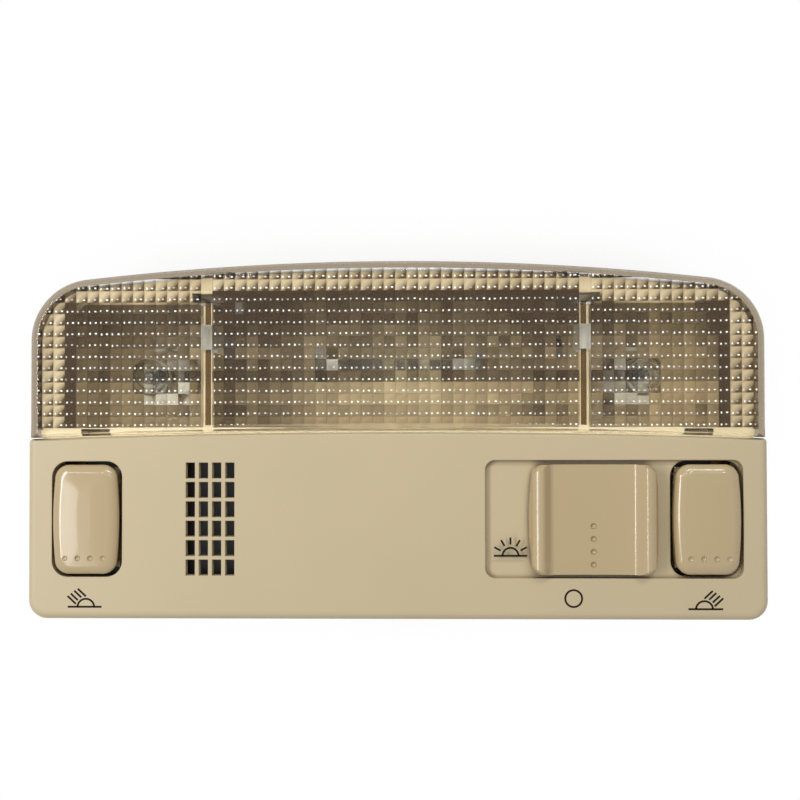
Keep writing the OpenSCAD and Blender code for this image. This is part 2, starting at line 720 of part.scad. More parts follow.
module switch_carrier() {
    color(black) difference() {
        union() {
            block([-carrier_hw, carrier_low_y, carrier_z - carrier_t],
                [carrier_hw, carrier_high_y, carrier_z]);
            // Rim under the plate's edge
            difference() {
                block([-carrier_hw, carrier_low_y, carrier_z - 6],
                    [carrier_hw, carrier_high_y, carrier_z - eps]);
                block([-carrier_hw + 1.6, carrier_low_y + 1.6, carrier_z - 7],
                    [carrier_hw - 1.6, carrier_high_y - 1.6, carrier_z]);
            }
            for (x = [-key_x, key_x]) {
                translate([x, plunger_y, tube_low_z]) cylinder(r = tube_r, h = carrier_z - tube_low_z - 1);
            }
            for (x = [-30, 30]) {
                block([x - 0.8, carrier_low_y + 1, carrier_z - 6],
                    [x + 0.8, carrier_high_y - 1, carrier_z - 1]);
            }
            // Shroud of the connector
            translate([0, shroud_y, 0]) round_block(shroud_w, shroud_l, carrier_z - 1, 1.2);
            // Bridge over the conductors behind the grille
            block([grille_x - hood_hw, row_y - hood_hl, carrier_z + hood_h],
                [grille_x + hood_hw, row_y + hood_hl, carrier_z + hood_h + hood_t]);
            for (s = [-1, 1]) {
                block([grille_x - hood_hw, row_y + s * hood_hl, carrier_z - 1],
                    [grille_x + hood_hw, row_y + s * (hood_hl - hood_t), carrier_z + hood_h + hood_t]);
            }
            // Posts for the detent spring
            for (s = [-1, 1]) {
                block([detent_x + s * (leaf_w + 0.5), detent_y + 1.2, carrier_z - 1],
                    [detent_x + s * (leaf_w + 1.9), detent_y + 4, carriage_z - 0.4]);
            }
        }
        translate([0, shroud_y, -1])
            round_block(shroud_w - 2 * shroud_t, shroud_l - 2 * shroud_t, socket_d + 1, 0.8);
        for (x = [-key_x, key_x]) {
            translate([x, plunger_y, tube_low_z - 1])
                cylinder(r = tube_bore_r, h = carrier_z - carrier_t - tube_low_z + 1);
            translate([x, plunger_y, tube_low_z]) cylinder(r = plunger_r + fit, h = carrier_z);
        }
        for (p = boss_places) {
            translate([p[0], p[1], carrier_z - carrier_t - 1]) cylinder(r = 1.7, h = carrier_t + 2);
        }
        blade_slots();
    }
}

module carrier_screws() {
    head_z = carrier_z - carrier_t;
    color(steel) for (p = boss_places) {
        translate([p[0], p[1], 0]) difference() {
            union() {
                translate([0, 0, head_z - 1.6]) cylinder(r = 2.6, h = 1.6);
                translate([0, 0, head_z - eps]) cylinder(r = screw_r - fit, h = 7.4);
            }
            translate([0, 0, head_z - 2]) cylinder(r = 1, h = 1.2, $fn = 6);
        }
    }
}

// Plungers, washers, springs and plugs

collar_z = carrier_z - carrier_t - air - 1.5;
washer_t = 0.3;
plug_h = 1.6;
spring_low_z = tube_low_z + plug_h;
spring_high_z = collar_z - washer_t;
wire_r = 0.3;

module plunger() {
    top_z = key_pad_z - air;
    color("#d8d4c8") translate([0, plunger_y, 0]) union() {
        translate([0, 0, collar_z - 2.5]) cylinder(r = coil_r - 0.9, h = 3);
        translate([0, 0, collar_z]) cylinder(r = tube_bore_r - 0.2, h = 1.5);
        translate([0, 0, collar_z + 1]) cylinder(r = plunger_r, h = top_z - collar_z - 1.6);
        translate([0, 0, top_z - 0.6 - eps]) cylinder(r1 = plunger_r, r2 = plunger_r - 0.6, h = 0.6 + eps);
    }
}

module contact_washer() {
    color(brass) translate([0, plunger_y, spring_high_z]) difference() {
        cylinder(r = tube_bore_r - 0.25, h = washer_t);
        translate([0, 0, -1]) cylinder(r = coil_r - 0.9 + fit, h = washer_t + 2);
    }
}

// Compression spring: a wire swept along a helix
module coil_spring(r, wire, low_z, high_z, turns) {
    steps = 12 * turns;
    sides = 6;
    rise = high_z - low_z - 2 * wire;
    rings = [for (i = [0:steps]) let (a = 360 * turns * i / steps)
        [for (k = [0:sides - 1]) let (b = -360 * k / sides)
            [(r + wire * cos(b)) * cos(a), (r + wire * cos(b)) * sin(a),
                low_z + wire + rise * i / steps + wire * sin(b)]]];
    skin(rings);
}

module key_spring() {
    color(steel) translate([0, plunger_y, 0]) coil_spring(coil_r, wire_r, spring_low_z, spring_high_z, 5);
}

module spring_plug() {
    color(black) translate([0, plunger_y, tube_low_z]) cylinder(r = tube_bore_r - fit, h = plug_h);
}

module plunger_left() { translate([-key_x, 0, 0]) plunger(); }
module plunger_right() { translate([key_x, 0, 0]) plunger(); }
module contact_washer_left() { translate([-key_x, 0, 0]) contact_washer(); }
module contact_washer_right() { translate([key_x, 0, 0]) contact_washer(); }
module key_spring_left() { translate([-key_x, 0, 0]) key_spring(); }
module key_spring_right() { translate([key_x, 0, 0]) key_spring(); }
module spring_plug_left() { translate([-key_x, 0, 0]) spring_plug(); }
module spring_plug_right() { translate([key_x, 0, 0]) spring_plug(); }

// Conductor bars on the carrier, with blades down into the connector

bar_z = carrier_z + bar_t / 2;
drop_y = chamber_low_y - tray_t - bar_t / 2 - fit;
tail_z = tray_z - bar_t / 2 - fit;
along_x = [bar_w, bar_w, bar_t];
common_y = row_y + 8;
pad_y = row_y - 8;

module blade(i, y) {
    translate([i * blade_pitch, shroud_y, 0]) {
        block([-blade_w / 2, -bar_t / 2 - 0.1, blade_low_z], [blade_w / 2, bar_t / 2 + 0.1, carrier_z + eps]);
    }
    bent_bar([[i * blade_pitch, shroud_y, bar_z], [i * blade_pitch, y, bar_z]], along_x);
}

module drop_bar(x, y0, y1) {
    bent_bar([[x, y0, bar_z], [x, drop_y, bar_z], [x, drop_y, tail_z], [x, y1, tail_z]],
        [bar_w, bar_t, bar_t]);
}

// Underfloor places where the bars end beside a bulb holder
holder_low_y = reading_y - holder_r - 0.5;
holder_high_y = reading_y + holder_r + 0.5;
cross_y = chamber_low_y + 1.6;
back_y = festoon_y + foot_w + 2;
lamp_x = reading_x + 3.5;
flat_run = [bar_w, bar_w, bar_t];

module ground_bar() {
    color(brass) union() {
        blade(0, ground_y);
        bent_bar([[-reading_x + 1.5, ground_y, bar_z], [0, ground_y, bar_z]], along_x);
        drop_bar(-reading_x + 1.5, ground_y, holder_low_y);
        drop_bar(-foot_x, ground_y, back_y);
        bent_bar([[-foot_x, back_y, tail_z], [reading_x, back_y, tail_z],
            [reading_x, holder_high_y + bar_w / 2, tail_z]], flat_run);
    }
}

module supply_bar() {
    reach = key_x - 7;
    color(brass) union() {
        blade(-1, supply_y);
        bent_bar([[-reach, supply_y, bar_z], [reach, supply_y, bar_z]], along_x);
        bent_bar([[knob_x - slide_travel, supply_y, bar_z], [knob_x - slide_travel, pad_y, bar_z]], along_x);
        bent_bar([[-reach, supply_y, bar_z], [-reach, plunger_y, bar_z]], along_x);
        bent_bar([[reach, supply_y, bar_z], [reach, plunger_y, bar_z]], along_x);
    }
}

module door_bar() {
    color(brass) union() {
        blade(1, shroud_y);
        bent_bar([[blade_pitch, shroud_y, bar_z], [knob_x, shroud_y, bar_z], [knob_x, pad_y, bar_z]],
            along_x);
    }
}

// Bar from one key switch, down the tray's wall and under its floor to the bulb holder
module lamp_bar(side) {
    x = side * (key_x + 5);
    bent_bar([[x, plunger_y - 3, bar_z], [x, ground_y, bar_z]], along_x);
    drop_bar(x, ground_y, cross_y);
    bent_bar([[x, cross_y, tail_z], [side * lamp_x, cross_y, tail_z]], flat_run);
    bent_bar([[side * lamp_x, cross_y, tail_z], [side * lamp_x, holder_low_y - bar_w / 2, tail_z]], flat_run);
}

module lamp_bar_left() { color(brass) union() { lamp_bar(-1); } }
module lamp_bar_right() { color(brass) union() { lamp_bar(1); } }

module lamp_bar_middle() {
    color(brass) union() {
        bent_bar([[knob_x - slide_travel, common_y, bar_z], [knob_x + 2, common_y, bar_z]], along_x);
        bent_bar([[knob_x - slide_travel, common_y, bar_z], [foot_x, common_y, bar_z]], along_x);
        drop_bar(foot_x, common_y, festoon_y + foot_w / 2 - 1);
    }
}

// Tubular bulb and its clips

festoon_z = floor_z + festoon_h;
cap_l = 6.2;
glass_l = festoon_l - 2 * cap_l + 3;

module along_bulb(x) {
    translate([x, festoon_y, festoon_z]) rotate([0, 90, 0]) children();
}

module festoon_glass() {
    n = 6;
    neck = cap_r - 0.45;
    hl = glass_l / 2;
    color([0.9, 0.93, 0.95, 0.4]) along_bulb(0) difference() {
        rotate_extrude() polygon(concat(
            [[0, -hl], [neck, -hl], [neck, -hl + 1.6]],
            arc([festoon_r - 1.6, -hl + 3.6], 1.6, -60, 0, n),
            arc([festoon_r - 1.6, hl - 3.6], 1.6, 0, 60, n),
            [[neck, hl - 1.6], [neck, hl], [0, hl]]));
        cylinder(r = neck - 0.6, h = glass_l - 1.2, center = true);
        cylinder(r = festoon_r - 0.7, h = glass_l - 8.4, center = true);
    }
}

module festoon_cap() {
    rotate_extrude() polygon([[cap_r - 0.4, 0], [cap_r, 0], [cap_r, 3.4], [2, cap_l - 0.9],
        [1.3, cap_l - 0.3], [0.5, cap_l], [0, cap_l], [0, cap_l - 0.5], [0.4, cap_l - 0.5],
            [cap_r - 0.4, 3.2]]);
}

module festoon_cap_left() {
    color(tin) translate([cap_l - festoon_l / 2, festoon_y, festoon_z]) rotate([0, -90, 0]) festoon_cap();
}

module festoon_cap_right() {
    color(tin) translate([festoon_l / 2 - cap_l, festoon_y, festoon_z]) rotate([0, 90, 0]) festoon_cap();
}

module festoon_filament() {
    // Taut coil on two lead wires
    hl = glass_l / 2 - 0.8;
    color(tin) union() {
        along_bulb(0) coil_spring(0.5, 0.14, -8, 8, 8);
        at_both((8 + hl) / 2) translate([0, festoon_y, festoon_z]) {
            translate([0, 0, -0.5]) rotate([0, 90, 0]) cylinder(r = 0.25, h = hl - 7.6, center = true);
        }
        at_both(8) translate([0, festoon_y, festoon_z]) cylinder(r = 0.3, h = 1.4, center = true);
    }
}

module festoon_clip() {
    // Upright leaf with a hole that the cap's point sits in, on a foot through the floor
    top = festoon_z + 3.4;
    translate([0, festoon_y, 0]) difference() {
        union() {
            block([-clip_t / 2, -foot_w / 2, tail_z + bar_t / 2], [clip_t / 2, foot_w / 2, top]);
            block([-clip_t / 2, -foot_w / 2 - 1, floor_z + fit], [clip_t / 2, foot_w / 2 + 1, floor_z + 2]);
            // Flared lead in
            translate([0, 0, top]) rotate([0, 20, 0])
                block([-clip_t / 2, -foot_w / 2, -0.2], [clip_t / 2, foot_w / 2, 2.4]);
        }
        translate([0, 0, festoon_z]) rotate([0, 90, 0]) cylinder(r = 1.9, h = 6, center = true);
    }
}

module festoon_clip_left() { color(steel) mirror([1, 0, 0]) translate([foot_x, 0, 0]) festoon_clip(); }
module festoon_clip_right() { color(steel) translate([foot_x, 0, 0]) festoon_clip(); }

// Reading bulbs, holders and contacts

base_w = 9.4;
base_t = 2.3;
base_h = 9;
bulb_low_z = 4.4;
contact_t = 0.4;

module bulb_holder() {
    color("#d9d6cc") translate([0, reading_y, 0]) difference() {
        union() {
            block([-8, -1.6, 0], [8, 1.6, 3]);
            translate([0, 0, 2.4]) cylinder(r = 9, h = tray_z - bar_t - 2 * fit - 2.4);
            translate([0, 0, 4]) cylinder(r = holder_r, h = bulb_low_z + base_h - 4.2);
            // Bayonet lugs over the tray floor
            for (a = [0, 180]) {
                rotate([0, 0, a + 20]) translate([holder_r - 0.5, -1.5, floor_z + 0.1]) cube([1.6, 3, 1.4]);
            }
        }
        block([-base_w / 2 - 0.1, -base_t / 2 - contact_t - 0.15, bulb_low_z - 0.1],
            [base_w / 2 + 0.1, base_t / 2 + contact_t + 0.15, 20]);
        for (s = [-1, 1]) {
            translate([0, s * (base_t / 2 + contact_t / 2 + 0.05), 6])
                cube([3 + 2 * fit, contact_t + 2 * fit, 14], center = true);
        }
    }
}

module holder_contacts() {
    color(steel) translate([0, reading_y, 0]) for (s = [-1, 1]) {
        translate([0, s * (base_t / 2 + contact_t / 2 + 0.05), 7.4]) cube([3, contact_t, 11], center = true);
    }
}

module reading_bulb() {
    r = reading_r;
    top_z = bulb_low_z + reading_l;
    neck_z = bulb_low_z + base_h;
    color([0.9, 0.93, 0.95, 0.4]) translate([0, reading_y, 0]) union() {
        block([-base_w / 2, -base_t / 2, bulb_low_z], [base_w / 2, base_t / 2, neck_z + 1]);
        difference() {
            rotate_extrude() polygon(concat(
                [[0, neck_z], [3.2, neck_z]], arc([r - 2, neck_z + 3.4], 2, -50, 0, 4),
                arc([0, top_z - r], r, 0, 82, 10), [[0.6, top_z + 0.1], [0, top_z + 0.3]]));
            rotate_extrude() polygon(concat(
                [[0, neck_z + 2.6], [r - 2.4, neck_z + 2.6], [r - 0.7, neck_z + 4.4]],
                arc([0, top_z - r], r - 0.7, 0, 90, 8)));
        }
    }
}

module reading_filament() {
    // A hoop of coiled wire between two supports
    base_z = bulb_low_z + base_h + 2.6;
    hoop_z = base_z + 6;
    hoop_r = 2.2;
    color(tin) translate([0, reading_y, 0]) union() {
        for (s = [-1, 1]) {
            translate([s * hoop_r, 0, base_z]) cylinder(r = 0.3, h = hoop_z - base_z);
        }
        translate([0, 0, hoop_z]) rotate([90, 0, 0]) rotate_extrude(angle = 180) translate([hoop_r, 0])
            circle(r = 0.32);
    }
}

module bulb_holder_left() { translate([-reading_x, 0, 0]) bulb_holder(); }
module bulb_holder_right() { translate([reading_x, 0, 0]) bulb_holder(); }
module holder_contacts_left() { translate([-reading_x, 0, 0]) holder_contacts(); }
module holder_contacts_right() { translate([reading_x, 0, 0]) holder_contacts(); }
module reading_bulb_left() { translate([-reading_x, 0, 0]) reading_bulb(); }
module reading_bulb_right() { translate([reading_x, 0, 0]) reading_bulb(); }
module reading_filament_left() { translate([-reading_x, 0, 0]) reading_filament(); }
module reading_filament_right() { translate([reading_x, 0, 0]) reading_filament(); }

// Spring clips that grip the roof panel: one leg in the partition's slot, one out through the tray wall

clip_w = 5.4;

module retaining_clip() {
    y0 = slot_y - clip_t;
    y1 = chamber_top_y + tray_t + 0.4;
    z0 = tray_z + 1;
    color(steel) union() {
        block([-clip_w / 2, y0, z0], [clip_w / 2, y0 + clip_t, rim_z]);
        block([-clip_w / 2, y0, z0], [clip_w / 2, y1 + clip_t, z0 + clip_t]);
        rotate([90, 0, 90]) linear_extrude(clip_w, center = true) polygon([[y1, z0], [y1 + clip_t, z0],
            [y1 + 2.4, z0 + 12], [y1 + 0.6, rim_under_z - 6], [y1, rim_under_z - 6],
                [y1 + 2.4 - clip_t, z0 + 12]]);
    }
}

module retaining_clip_left() { mirror([1, 0, 0]) translate([strip_x, 0, 0]) retaining_clip(); }
module retaining_clip_right() { translate([strip_x, 0, 0]) retaining_clip(); }

housing();
lens();
key_left();
key_right();
slide_knob();
slide_carriage();
slide_contact();
detent_spring();
switch_carrier();
carrier_screws();
plunger_left();
plunger_right();
contact_washer_left();
contact_washer_right();
key_spring_left();
key_spring_right();
spring_plug_left();
spring_plug_right();
ground_bar();
supply_bar();
door_bar();
lamp_bar_left();
lamp_bar_right();
lamp_bar_middle();
festoon_clip_left();
festoon_clip_right();
festoon_glass();
festoon_cap_left();
festoon_cap_right();
festoon_filament();
bulb_holder_left();
bulb_holder_right();
holder_contacts_left();
holder_contacts_right();
reading_bulb_left();
reading_bulb_right();
reading_filament_left();
reading_filament_right();
retaining_clip_left();
retaining_clip_right();
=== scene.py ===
"""Car dome light with two reading lights: its clear lens, keys, slide button, ink signs and finishes."""

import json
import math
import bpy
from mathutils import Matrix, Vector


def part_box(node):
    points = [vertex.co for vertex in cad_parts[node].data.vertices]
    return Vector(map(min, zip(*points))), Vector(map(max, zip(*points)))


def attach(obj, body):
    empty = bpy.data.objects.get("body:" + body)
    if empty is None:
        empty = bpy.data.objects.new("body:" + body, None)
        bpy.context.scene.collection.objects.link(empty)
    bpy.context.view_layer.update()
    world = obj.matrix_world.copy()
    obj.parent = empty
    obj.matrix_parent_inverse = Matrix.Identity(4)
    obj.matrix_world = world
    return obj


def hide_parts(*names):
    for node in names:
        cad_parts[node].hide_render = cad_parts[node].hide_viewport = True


bl_info = {
    "name": "Dome Light Looks",
    "version": (1, 0, 0),
    "blender": (4, 5, 0),
    "location": "3D View > Sidebar > Dome Light",
    "description": "Builds the lens, keys, slide button, ink signs and finishes of a car dome light",
    "category": "Object",
}

import bpy
from bpy.props import FloatProperty, FloatVectorProperty, IntProperty, PointerProperty
from mathutils import Matrix, Vector

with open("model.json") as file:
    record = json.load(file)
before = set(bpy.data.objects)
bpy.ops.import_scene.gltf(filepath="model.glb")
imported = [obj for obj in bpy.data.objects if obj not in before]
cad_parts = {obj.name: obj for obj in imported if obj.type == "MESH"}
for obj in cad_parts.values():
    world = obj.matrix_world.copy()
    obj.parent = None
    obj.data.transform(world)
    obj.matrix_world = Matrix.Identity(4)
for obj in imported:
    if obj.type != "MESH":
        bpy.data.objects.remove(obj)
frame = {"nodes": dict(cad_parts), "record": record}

# Sizes of the moulded parts in millimetres, with the face of the panel at z = 40
FACE_Z = 40.0
FLANGE_Z = 31.0
JOINT_Y, JOINT_R, JOINT_GAP = 0.2, 2500.0, 0.25
LOW_Y, HIGH_Y = -43.2, 43.2
PANEL_HW = 89.0
LENS_HW, LENS_T, LENS_Z = 88.5, 1.9, 41.1
LENS_TOP_R, LENS_CORNER_R, LENS_EDGE_R = 670.0, 15.0, 2.6
LENS_IN_Z = LENS_Z - LENS_T
CHAMBER_LOW_Y, CHAMBER_HIGH_Y, CHAMBER_HW = 3.0, 36.4, 79.3
SIDE_RIM_Y, MIDDLE_RIM_Y = 33.26, 36.02
STRIP_COLUMN, EDGE_COLUMN, RIM_COLUMN = 16, 28, 29
FIRST_ROW_Y = CHAMBER_LOW_Y - 0.1
RIM_Z, RIM_UNDER_Z = 36.5, 34.1
ROW_Y = -19.0
KEY_X, KEY_W, KEY_L, KEY_TOP_Z = 74.4, 15.6, 26.2, 42.4
KNOB_X, KNOB_W, KNOB_L = 47.2, 30.6, 26.2
KNOB_RIDGE_Z, KNOB_HOLLOW_Z = FACE_Z + 3.6, FACE_Z + 1.1
TRUNNION_Y, TRUNNION_Z, PLUNGER_ARM = -8.3, 34.3, 18.0
DIMPLE_R, DIMPLE_PITCH = 0.78, 3.05
DIMPLE_LIFT = DIMPLE_R * 0.3

# Lamps: setting with the power, name, place from the middle of the face, width and height, in metres
LAMPS = (
    ("side", "Side lamp", (-0.42, 0.07, 0.50), 0.09, 0.40),
    ("low", "Key lamp", (-0.265, -0.12, 0.42), 0.066, 0.22),
    ("top", "Top lamp", (0.12, 0.38, 0.46), 0.30, 0.06),
)
SPARK_PITCH, SPARK_Y, SPARK_Z, SPARK_SIZE = 0.12, 0.15, 0.42, 0.022
SKY_LEVEL = 0.31

JOINT_C = JOINT_Y + PANEL_HW**2 / (2 * JOINT_R) - JOINT_R
LENS_C = HIGH_Y - LENS_TOP_R
CORNER_X = LENS_HW - LENS_CORNER_R
CORNER_Y = LENS_C + math.sqrt((LENS_TOP_R - LENS_CORNER_R) ** 2 - CORNER_X**2)
CORNER_A = math.asin(CORNER_X / (LENS_TOP_R - LENS_CORNER_R))


def place():
    """The move from the part's own millimetres to the row frame."""
    low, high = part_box("housing")
    shift = Vector(((low.x + high.x) / 2, low.y - LOW_Y / 1000, high.z - FACE_Z / 1000))
    return Matrix.Translation(shift) @ Matrix.Scale(0.001, 4)


def linear(r, g, b):
    """A colour given as eight bit screen values, as the linear values that a shader takes."""
    parts = [c / 255 for c in (r, g, b)]
    return tuple(c / 12.92 if c <= 0.04045 else ((c + 0.055) / 1.055) ** 2.4 for c in parts)


# ---- Shapes


def arc(cx, cy, r, a0, a1, n):
    return [
        (cx + r * math.cos(math.radians(a)), cy + r * math.sin(math.radians(a)))
        for a in (a0 + (a1 - a0) * i / n for i in range(n + 1))
    ]


def joint_at(x, off):
    return JOINT_C + math.sqrt((JOINT_R + off) ** 2 - x * x)


def lens_outline(e, e_low):
    """Outline of the lens, moved in by e at its outer sides and by e_low along the panel."""
    hw, rc, n, off = LENS_HW - e, LENS_CORNER_R - e, 60, JOINT_GAP + e_low
    corner = 90 - math.degrees(CORNER_A)
    low = [(x, joint_at(x, off)) for x in (hw * (2 * i / n - 1) for i in range(n + 1))]
    top = [
        ((LENS_TOP_R - e) * math.sin(a), LENS_C + (LENS_TOP_R - e) * math.cos(a))
        for a in (CORNER_A * (1 - 2 * i / n) for i in range(1, n))
    ]
    return (
        low
        + arc(CORNER_X, CORNER_Y, rc, 0, corner, 24)
        + top
        + arc(-CORNER_X, CORNER_Y, rc, 180 - corner, 180, 24)
    )


def key_outline(w, length, r, bow):
    """Outline of a key: a round cornered block whose long sides bow out a little."""
    n = 16
    hw, hl = w / 2, length / 2
    steps = [2 * i / n - 1 for i in range(1, n)]
    return (
        arc(hw - r, hl - r, r, 0, 90, 16)
        + arc(r - hw, hl - r, r, 90, 180, 16)
        + [(-hw - bow * (1 - t * t), -t * (hl - r)) for t in steps]
        + arc(r - hw, r - hl, r, 180, 270, 16)
        + arc(hw - r, r - hl, r, 270, 360, 16)
        + [(hw + bow * (1 - t * t), t * (hl - r)) for t in steps]
    )


def lift(ring, z):
    return [(x, y, z) for x, y in ring]


def skin(name, rings):
    """A closed mesh over rings of points, each ring with as many points."""
    n = len(rings[0])
    points = [p for ring in rings for p in ring]
    faces = [tuple(reversed(range(n)))]
    for k in range(len(rings) - 1):
        for i in range(n):
            j = (i + 1) % n
            faces.append((k * n + i, k * n + j, (k + 1) * n + j, (k + 1) * n + i))
    faces.append(tuple((len(rings) - 1) * n + i for i in range(n)))
    mesh = bpy.data.meshes.new(name)
    mesh.from_pydata(points, [], faces)
    return mesh


def block(a, b):
    """A block from its two corners, used as a part of a larger moulding."""
    ring = [(a[0], a[1]), (b[0], a[1]), (b[0], b[1]), (a[0], b[1])]
    return skin("block", [lift(ring, a[2]), lift(ring, b[2])])


def tapered(a, b, c, d):
    """A block from a to b at its foot that tapers to c and d at its top."""
    low = [(a[0], a[1]), (b[0], a[1]), (b[0], b[1]), (a[0], b[1])]
    high = [(c[0], c[1]), (d[0], c[1]), (d[0], d[1]), (c[0], d[1])]
    return skin("tapered", [lift(low, a[2]), lift(high, c[2])])


def ball(x, y, z, r):
    rings = []
    for k in range(1, 16):
        a = math.pi * k / 16 - math.pi / 2
        rings.append(lift(arc(x, y, r * math.cos(a), 0, 337.5 + 11.25, 31), z + r * math.sin(a)))
    return skin("ball", rings)


def pin(x0, x1, y, z, r):
    """A round pin along X."""
    ring = arc(y, z, r, 0, 360 - 11.25, 31)
    return skin("pin", [[(x, p, q) for p, q in ring] for x in (x0, x1)])


def combine(base, tool, operation):
    """The base mesh with the tool mesh joined to it, cut from it, or kept where both are."""
    scene = bpy.context.scene.collection
    a, b = bpy.data.objects.new("base", base), bpy.data.objects.new("tool", tool)
    scene.objects.link(a)
    scene.objects.link(b)
    step = a.modifiers.new("step", "BOOLEAN")
    step.operation, step.solver, step.object = operation, "MANIFOLD", b
    bpy.context.view_layer.update()
    made = bpy.data.meshes.new_from_object(a.evaluated_get(bpy.context.evaluated_depsgraph_get()))
    for ob in (a, b):
        bpy.data.objects.remove(ob)
    for mesh in (base, tool):
        bpy.data.meshes.remove(mesh)
    if not made.polygons:
        raise RuntimeError(f"{operation} left nothing")
    return made


def piece(name, mesh, body, material, replaces=None, sharp=30.0):
    """Puts a finished mesh in the scene as one piece of the object, riding on its body."""
    mesh.name = name
    mesh.transform(place())
    ob = bpy.data.objects.new(name, mesh)
    bpy.context.scene.collection.objects.link(ob)
    mesh.materials.clear()
    mesh.materials.append(material)
    mesh.polygons.foreach_set("use_smooth", [True] * len(mesh.polygons))
    mesh.set_sharp_from_angle(angle=math.radians(sharp))
    even = ob.modifiers.new("Even shading", "WEIGHTED_NORMAL")
    even.keep_sharp = True
    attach(ob, body)
    if replaces:
        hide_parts(*replaces)
    return ob


# ---- Materials


class Value:
    """A shader socket that can be used in sums."""

    def __init__(self, tree, socket):
        self.tree, self.socket = tree, socket

    def _math(self, operation, *terms, clamp=False):
        node = self.tree.nodes.new("ShaderNodeMath")
        node.operation, node.use_clamp = operation, clamp
        for slot, term in zip(node.inputs, terms):
            if isinstance(term, Value):
                self.tree.links.new(term.socket, slot)
            else:
                slot.default_value = term
        return Value(self.tree, node.outputs[0])

    def __add__(self, other):
        return self._math("ADD", self, other)

    def __radd__(self, other):
        return self._math("ADD", other, self)

    def __sub__(self, other):
        return self._math("SUBTRACT", self, other)

    def __rsub__(self, other):
        return self._math("SUBTRACT", other, self)

    def __mul__(self, other):
        return self._math("MULTIPLY", self, other)

    def __rmul__(self, other):
        return self._math("MULTIPLY", other, self)

    def __truediv__(self, other):
        return self._math("DIVIDE", self, other)

    def __pow__(self, other):
        return self._math("POWER", self, other)

    def maximum(self, other):
        return self._math("MAXIMUM", self, other)

    def fraction(self):
        return self._math("FRACT", self)

    def floor(self):
        return self._math("FLOOR", self)

    def size(self):
        return self._math("ABSOLUTE", self)

    def above(self, other):
        return self._math("GREATER_THAN", self, other)

    def below(self, other):
        return self._math("LESS_THAN", self, other)

    def clamped(self):
        return self._math("ADD", self, 0.0, clamp=True)


class Finish:
    """A material being built from nodes."""

    def __init__(self, name):
        self.material = bpy.data.materials.new(name)
        self.material.use_nodes = True
        self.tree = self.material.node_tree
        self.tree.nodes.clear()
        self.out = self.tree.nodes.new("ShaderNodeOutputMaterial")

    def node(self, kind, settings=None, **sockets):
        """Adds a node: its type, then its settings, then its sockets by name."""
        made = self.tree.nodes.new("ShaderNode" + kind)
        for key, value in (settings or {}).items():
            setattr(made, key, value)
        for key, value in sockets.items():
            wanted = key.replace("_", " ").lower()
            slot = next(s for s in made.inputs if s.name.lower() == wanted and s.enabled)
            if isinstance(value, Value):
                self.tree.links.new(value.socket, slot)
            else:
                slot.default_value = value
        return made

    def value(self, kind, output, settings=None, **sockets):
        made = self.node(kind, settings, **sockets)
        found = next(s for s in made.outputs if s.name == output and s.enabled)
        return Value(self.tree, found)

    def mix(self, factor, a, b):
        """A colour between a and b."""
        made = self.tree.nodes.new("ShaderNodeMix")
        made.data_type = "RGBA"
        for slot, value in ((made.inputs[0], factor), (made.inputs[6], a), (made.inputs[7], b)):
            if isinstance(value, Value):
                self.tree.links.new(value.socket, slot)
            elif slot.type == "RGBA":
                slot.default_value = (*value[:3], 1.0)
            else:
                slot.default_value = value
        return Value(self.tree, made.outputs[2])

    def place(self):
        """Where on the piece a point lies, in metres, from the texture coordinates of its object."""
        return self.value("TexCoord", "Object")

    def along(self):
        """The three coordinates of place, each as a value of its own."""
        made = self.node("SeparateXYZ", None, Vector=self.place())
        return [Value(self.tree, s) for s in made.outputs]

    def noise(self, scale, detail=3.0, roughness=0.5):
        return self.value(
            "TexNoise", "Fac", Vector=self.place(), Scale=scale, Detail=detail, Roughness=roughness
        )

    def gap(self):
        """How deep in a narrow gap a point lies, from 0 in the open to 1, from ambient occlusion; the
        finishes use it to paint shade into gaps.
        """
        open_above = self.value("AmbientOcclusion", "AO", {"samples": 6}, Distance=0.0018)
        return ((0.72 - open_above) * 1.9).clamped()

    def round_edges(self, radius, samples=4):
        """A normal that softens sharp edges, as a mould leaves them."""
        return self.value("Bevel", "Normal", {"samples": samples}, Radius=radius)

    def bump(self, height, distance, strength=1.0, normal=None):
        extra = {"Normal": normal} if normal else {}
        return self.value(
            "Bump", "Normal", Height=height, Distance=distance, Strength=strength, **extra
        )

    def principled(self, **sockets):
        made = self.node("BsdfPrincipled", None, **sockets)
        return Value(self.tree, made.outputs[0])

    def done(self, shader):
        self.tree.links.new(shader.socket, self.out.inputs["Surface"])
        return self.material

    def through(self, shader, part):
        """Lets the lamps shine through: shadow rays see part of the surface as open."""
        ray = self.value("LightPath", "Is Shadow Ray")
        return self.blend(ray, shader, self.value("BsdfTransparent", "BSDF", Color=(*part, 1.0)))

    def blend(self, factor, a, b):
        """A shader between a and b."""
        mixed = self.tree.nodes.new("ShaderNodeMixShader")
        for slot, value in zip(mixed.inputs, (factor, a, b)):
            self.tree.links.new(value.socket, slot)
        return Value(self.tree, mixed.outputs[0])

    def scatter(self, value):
        """A random number from 0 to 1 for each whole number."""
        return self.value("TexWhiteNoise", "Value", {"noise_dimensions": "1D"}, W=value)


def moulded(name, colour, shade, roughness, grain, edge, gloss=0.0):
    """A moulded plastic: a fine grain, a slightly uneven tone, painted shade in narrow gaps and softened
    edges.
    """
    f = Finish(name)
    tone = f.noise(38.0, 2.0)
    fine = f.noise(2600.0, 2.0, 0.6)
    base = f.mix((tone - 0.3).clamped() * 1.6, colour, shade)
    # Painted shade: deep in narrow gaps the colour darkens towards a tenth of itself
    return f.done(
        f.principled(
            Base_Color=f.mix(f.gap(), base, tuple(c * 0.12 for c in colour)),
            Roughness=roughness + (f.noise(160.0, 3.0) - 0.5) * 0.06,
            IOR=1.5,
            Coat_Weight=gloss,
            Coat_Roughness=0.12,
            Normal=f.bump(fine, grain, 1.0, f.round_edges(edge)),
        )
    )


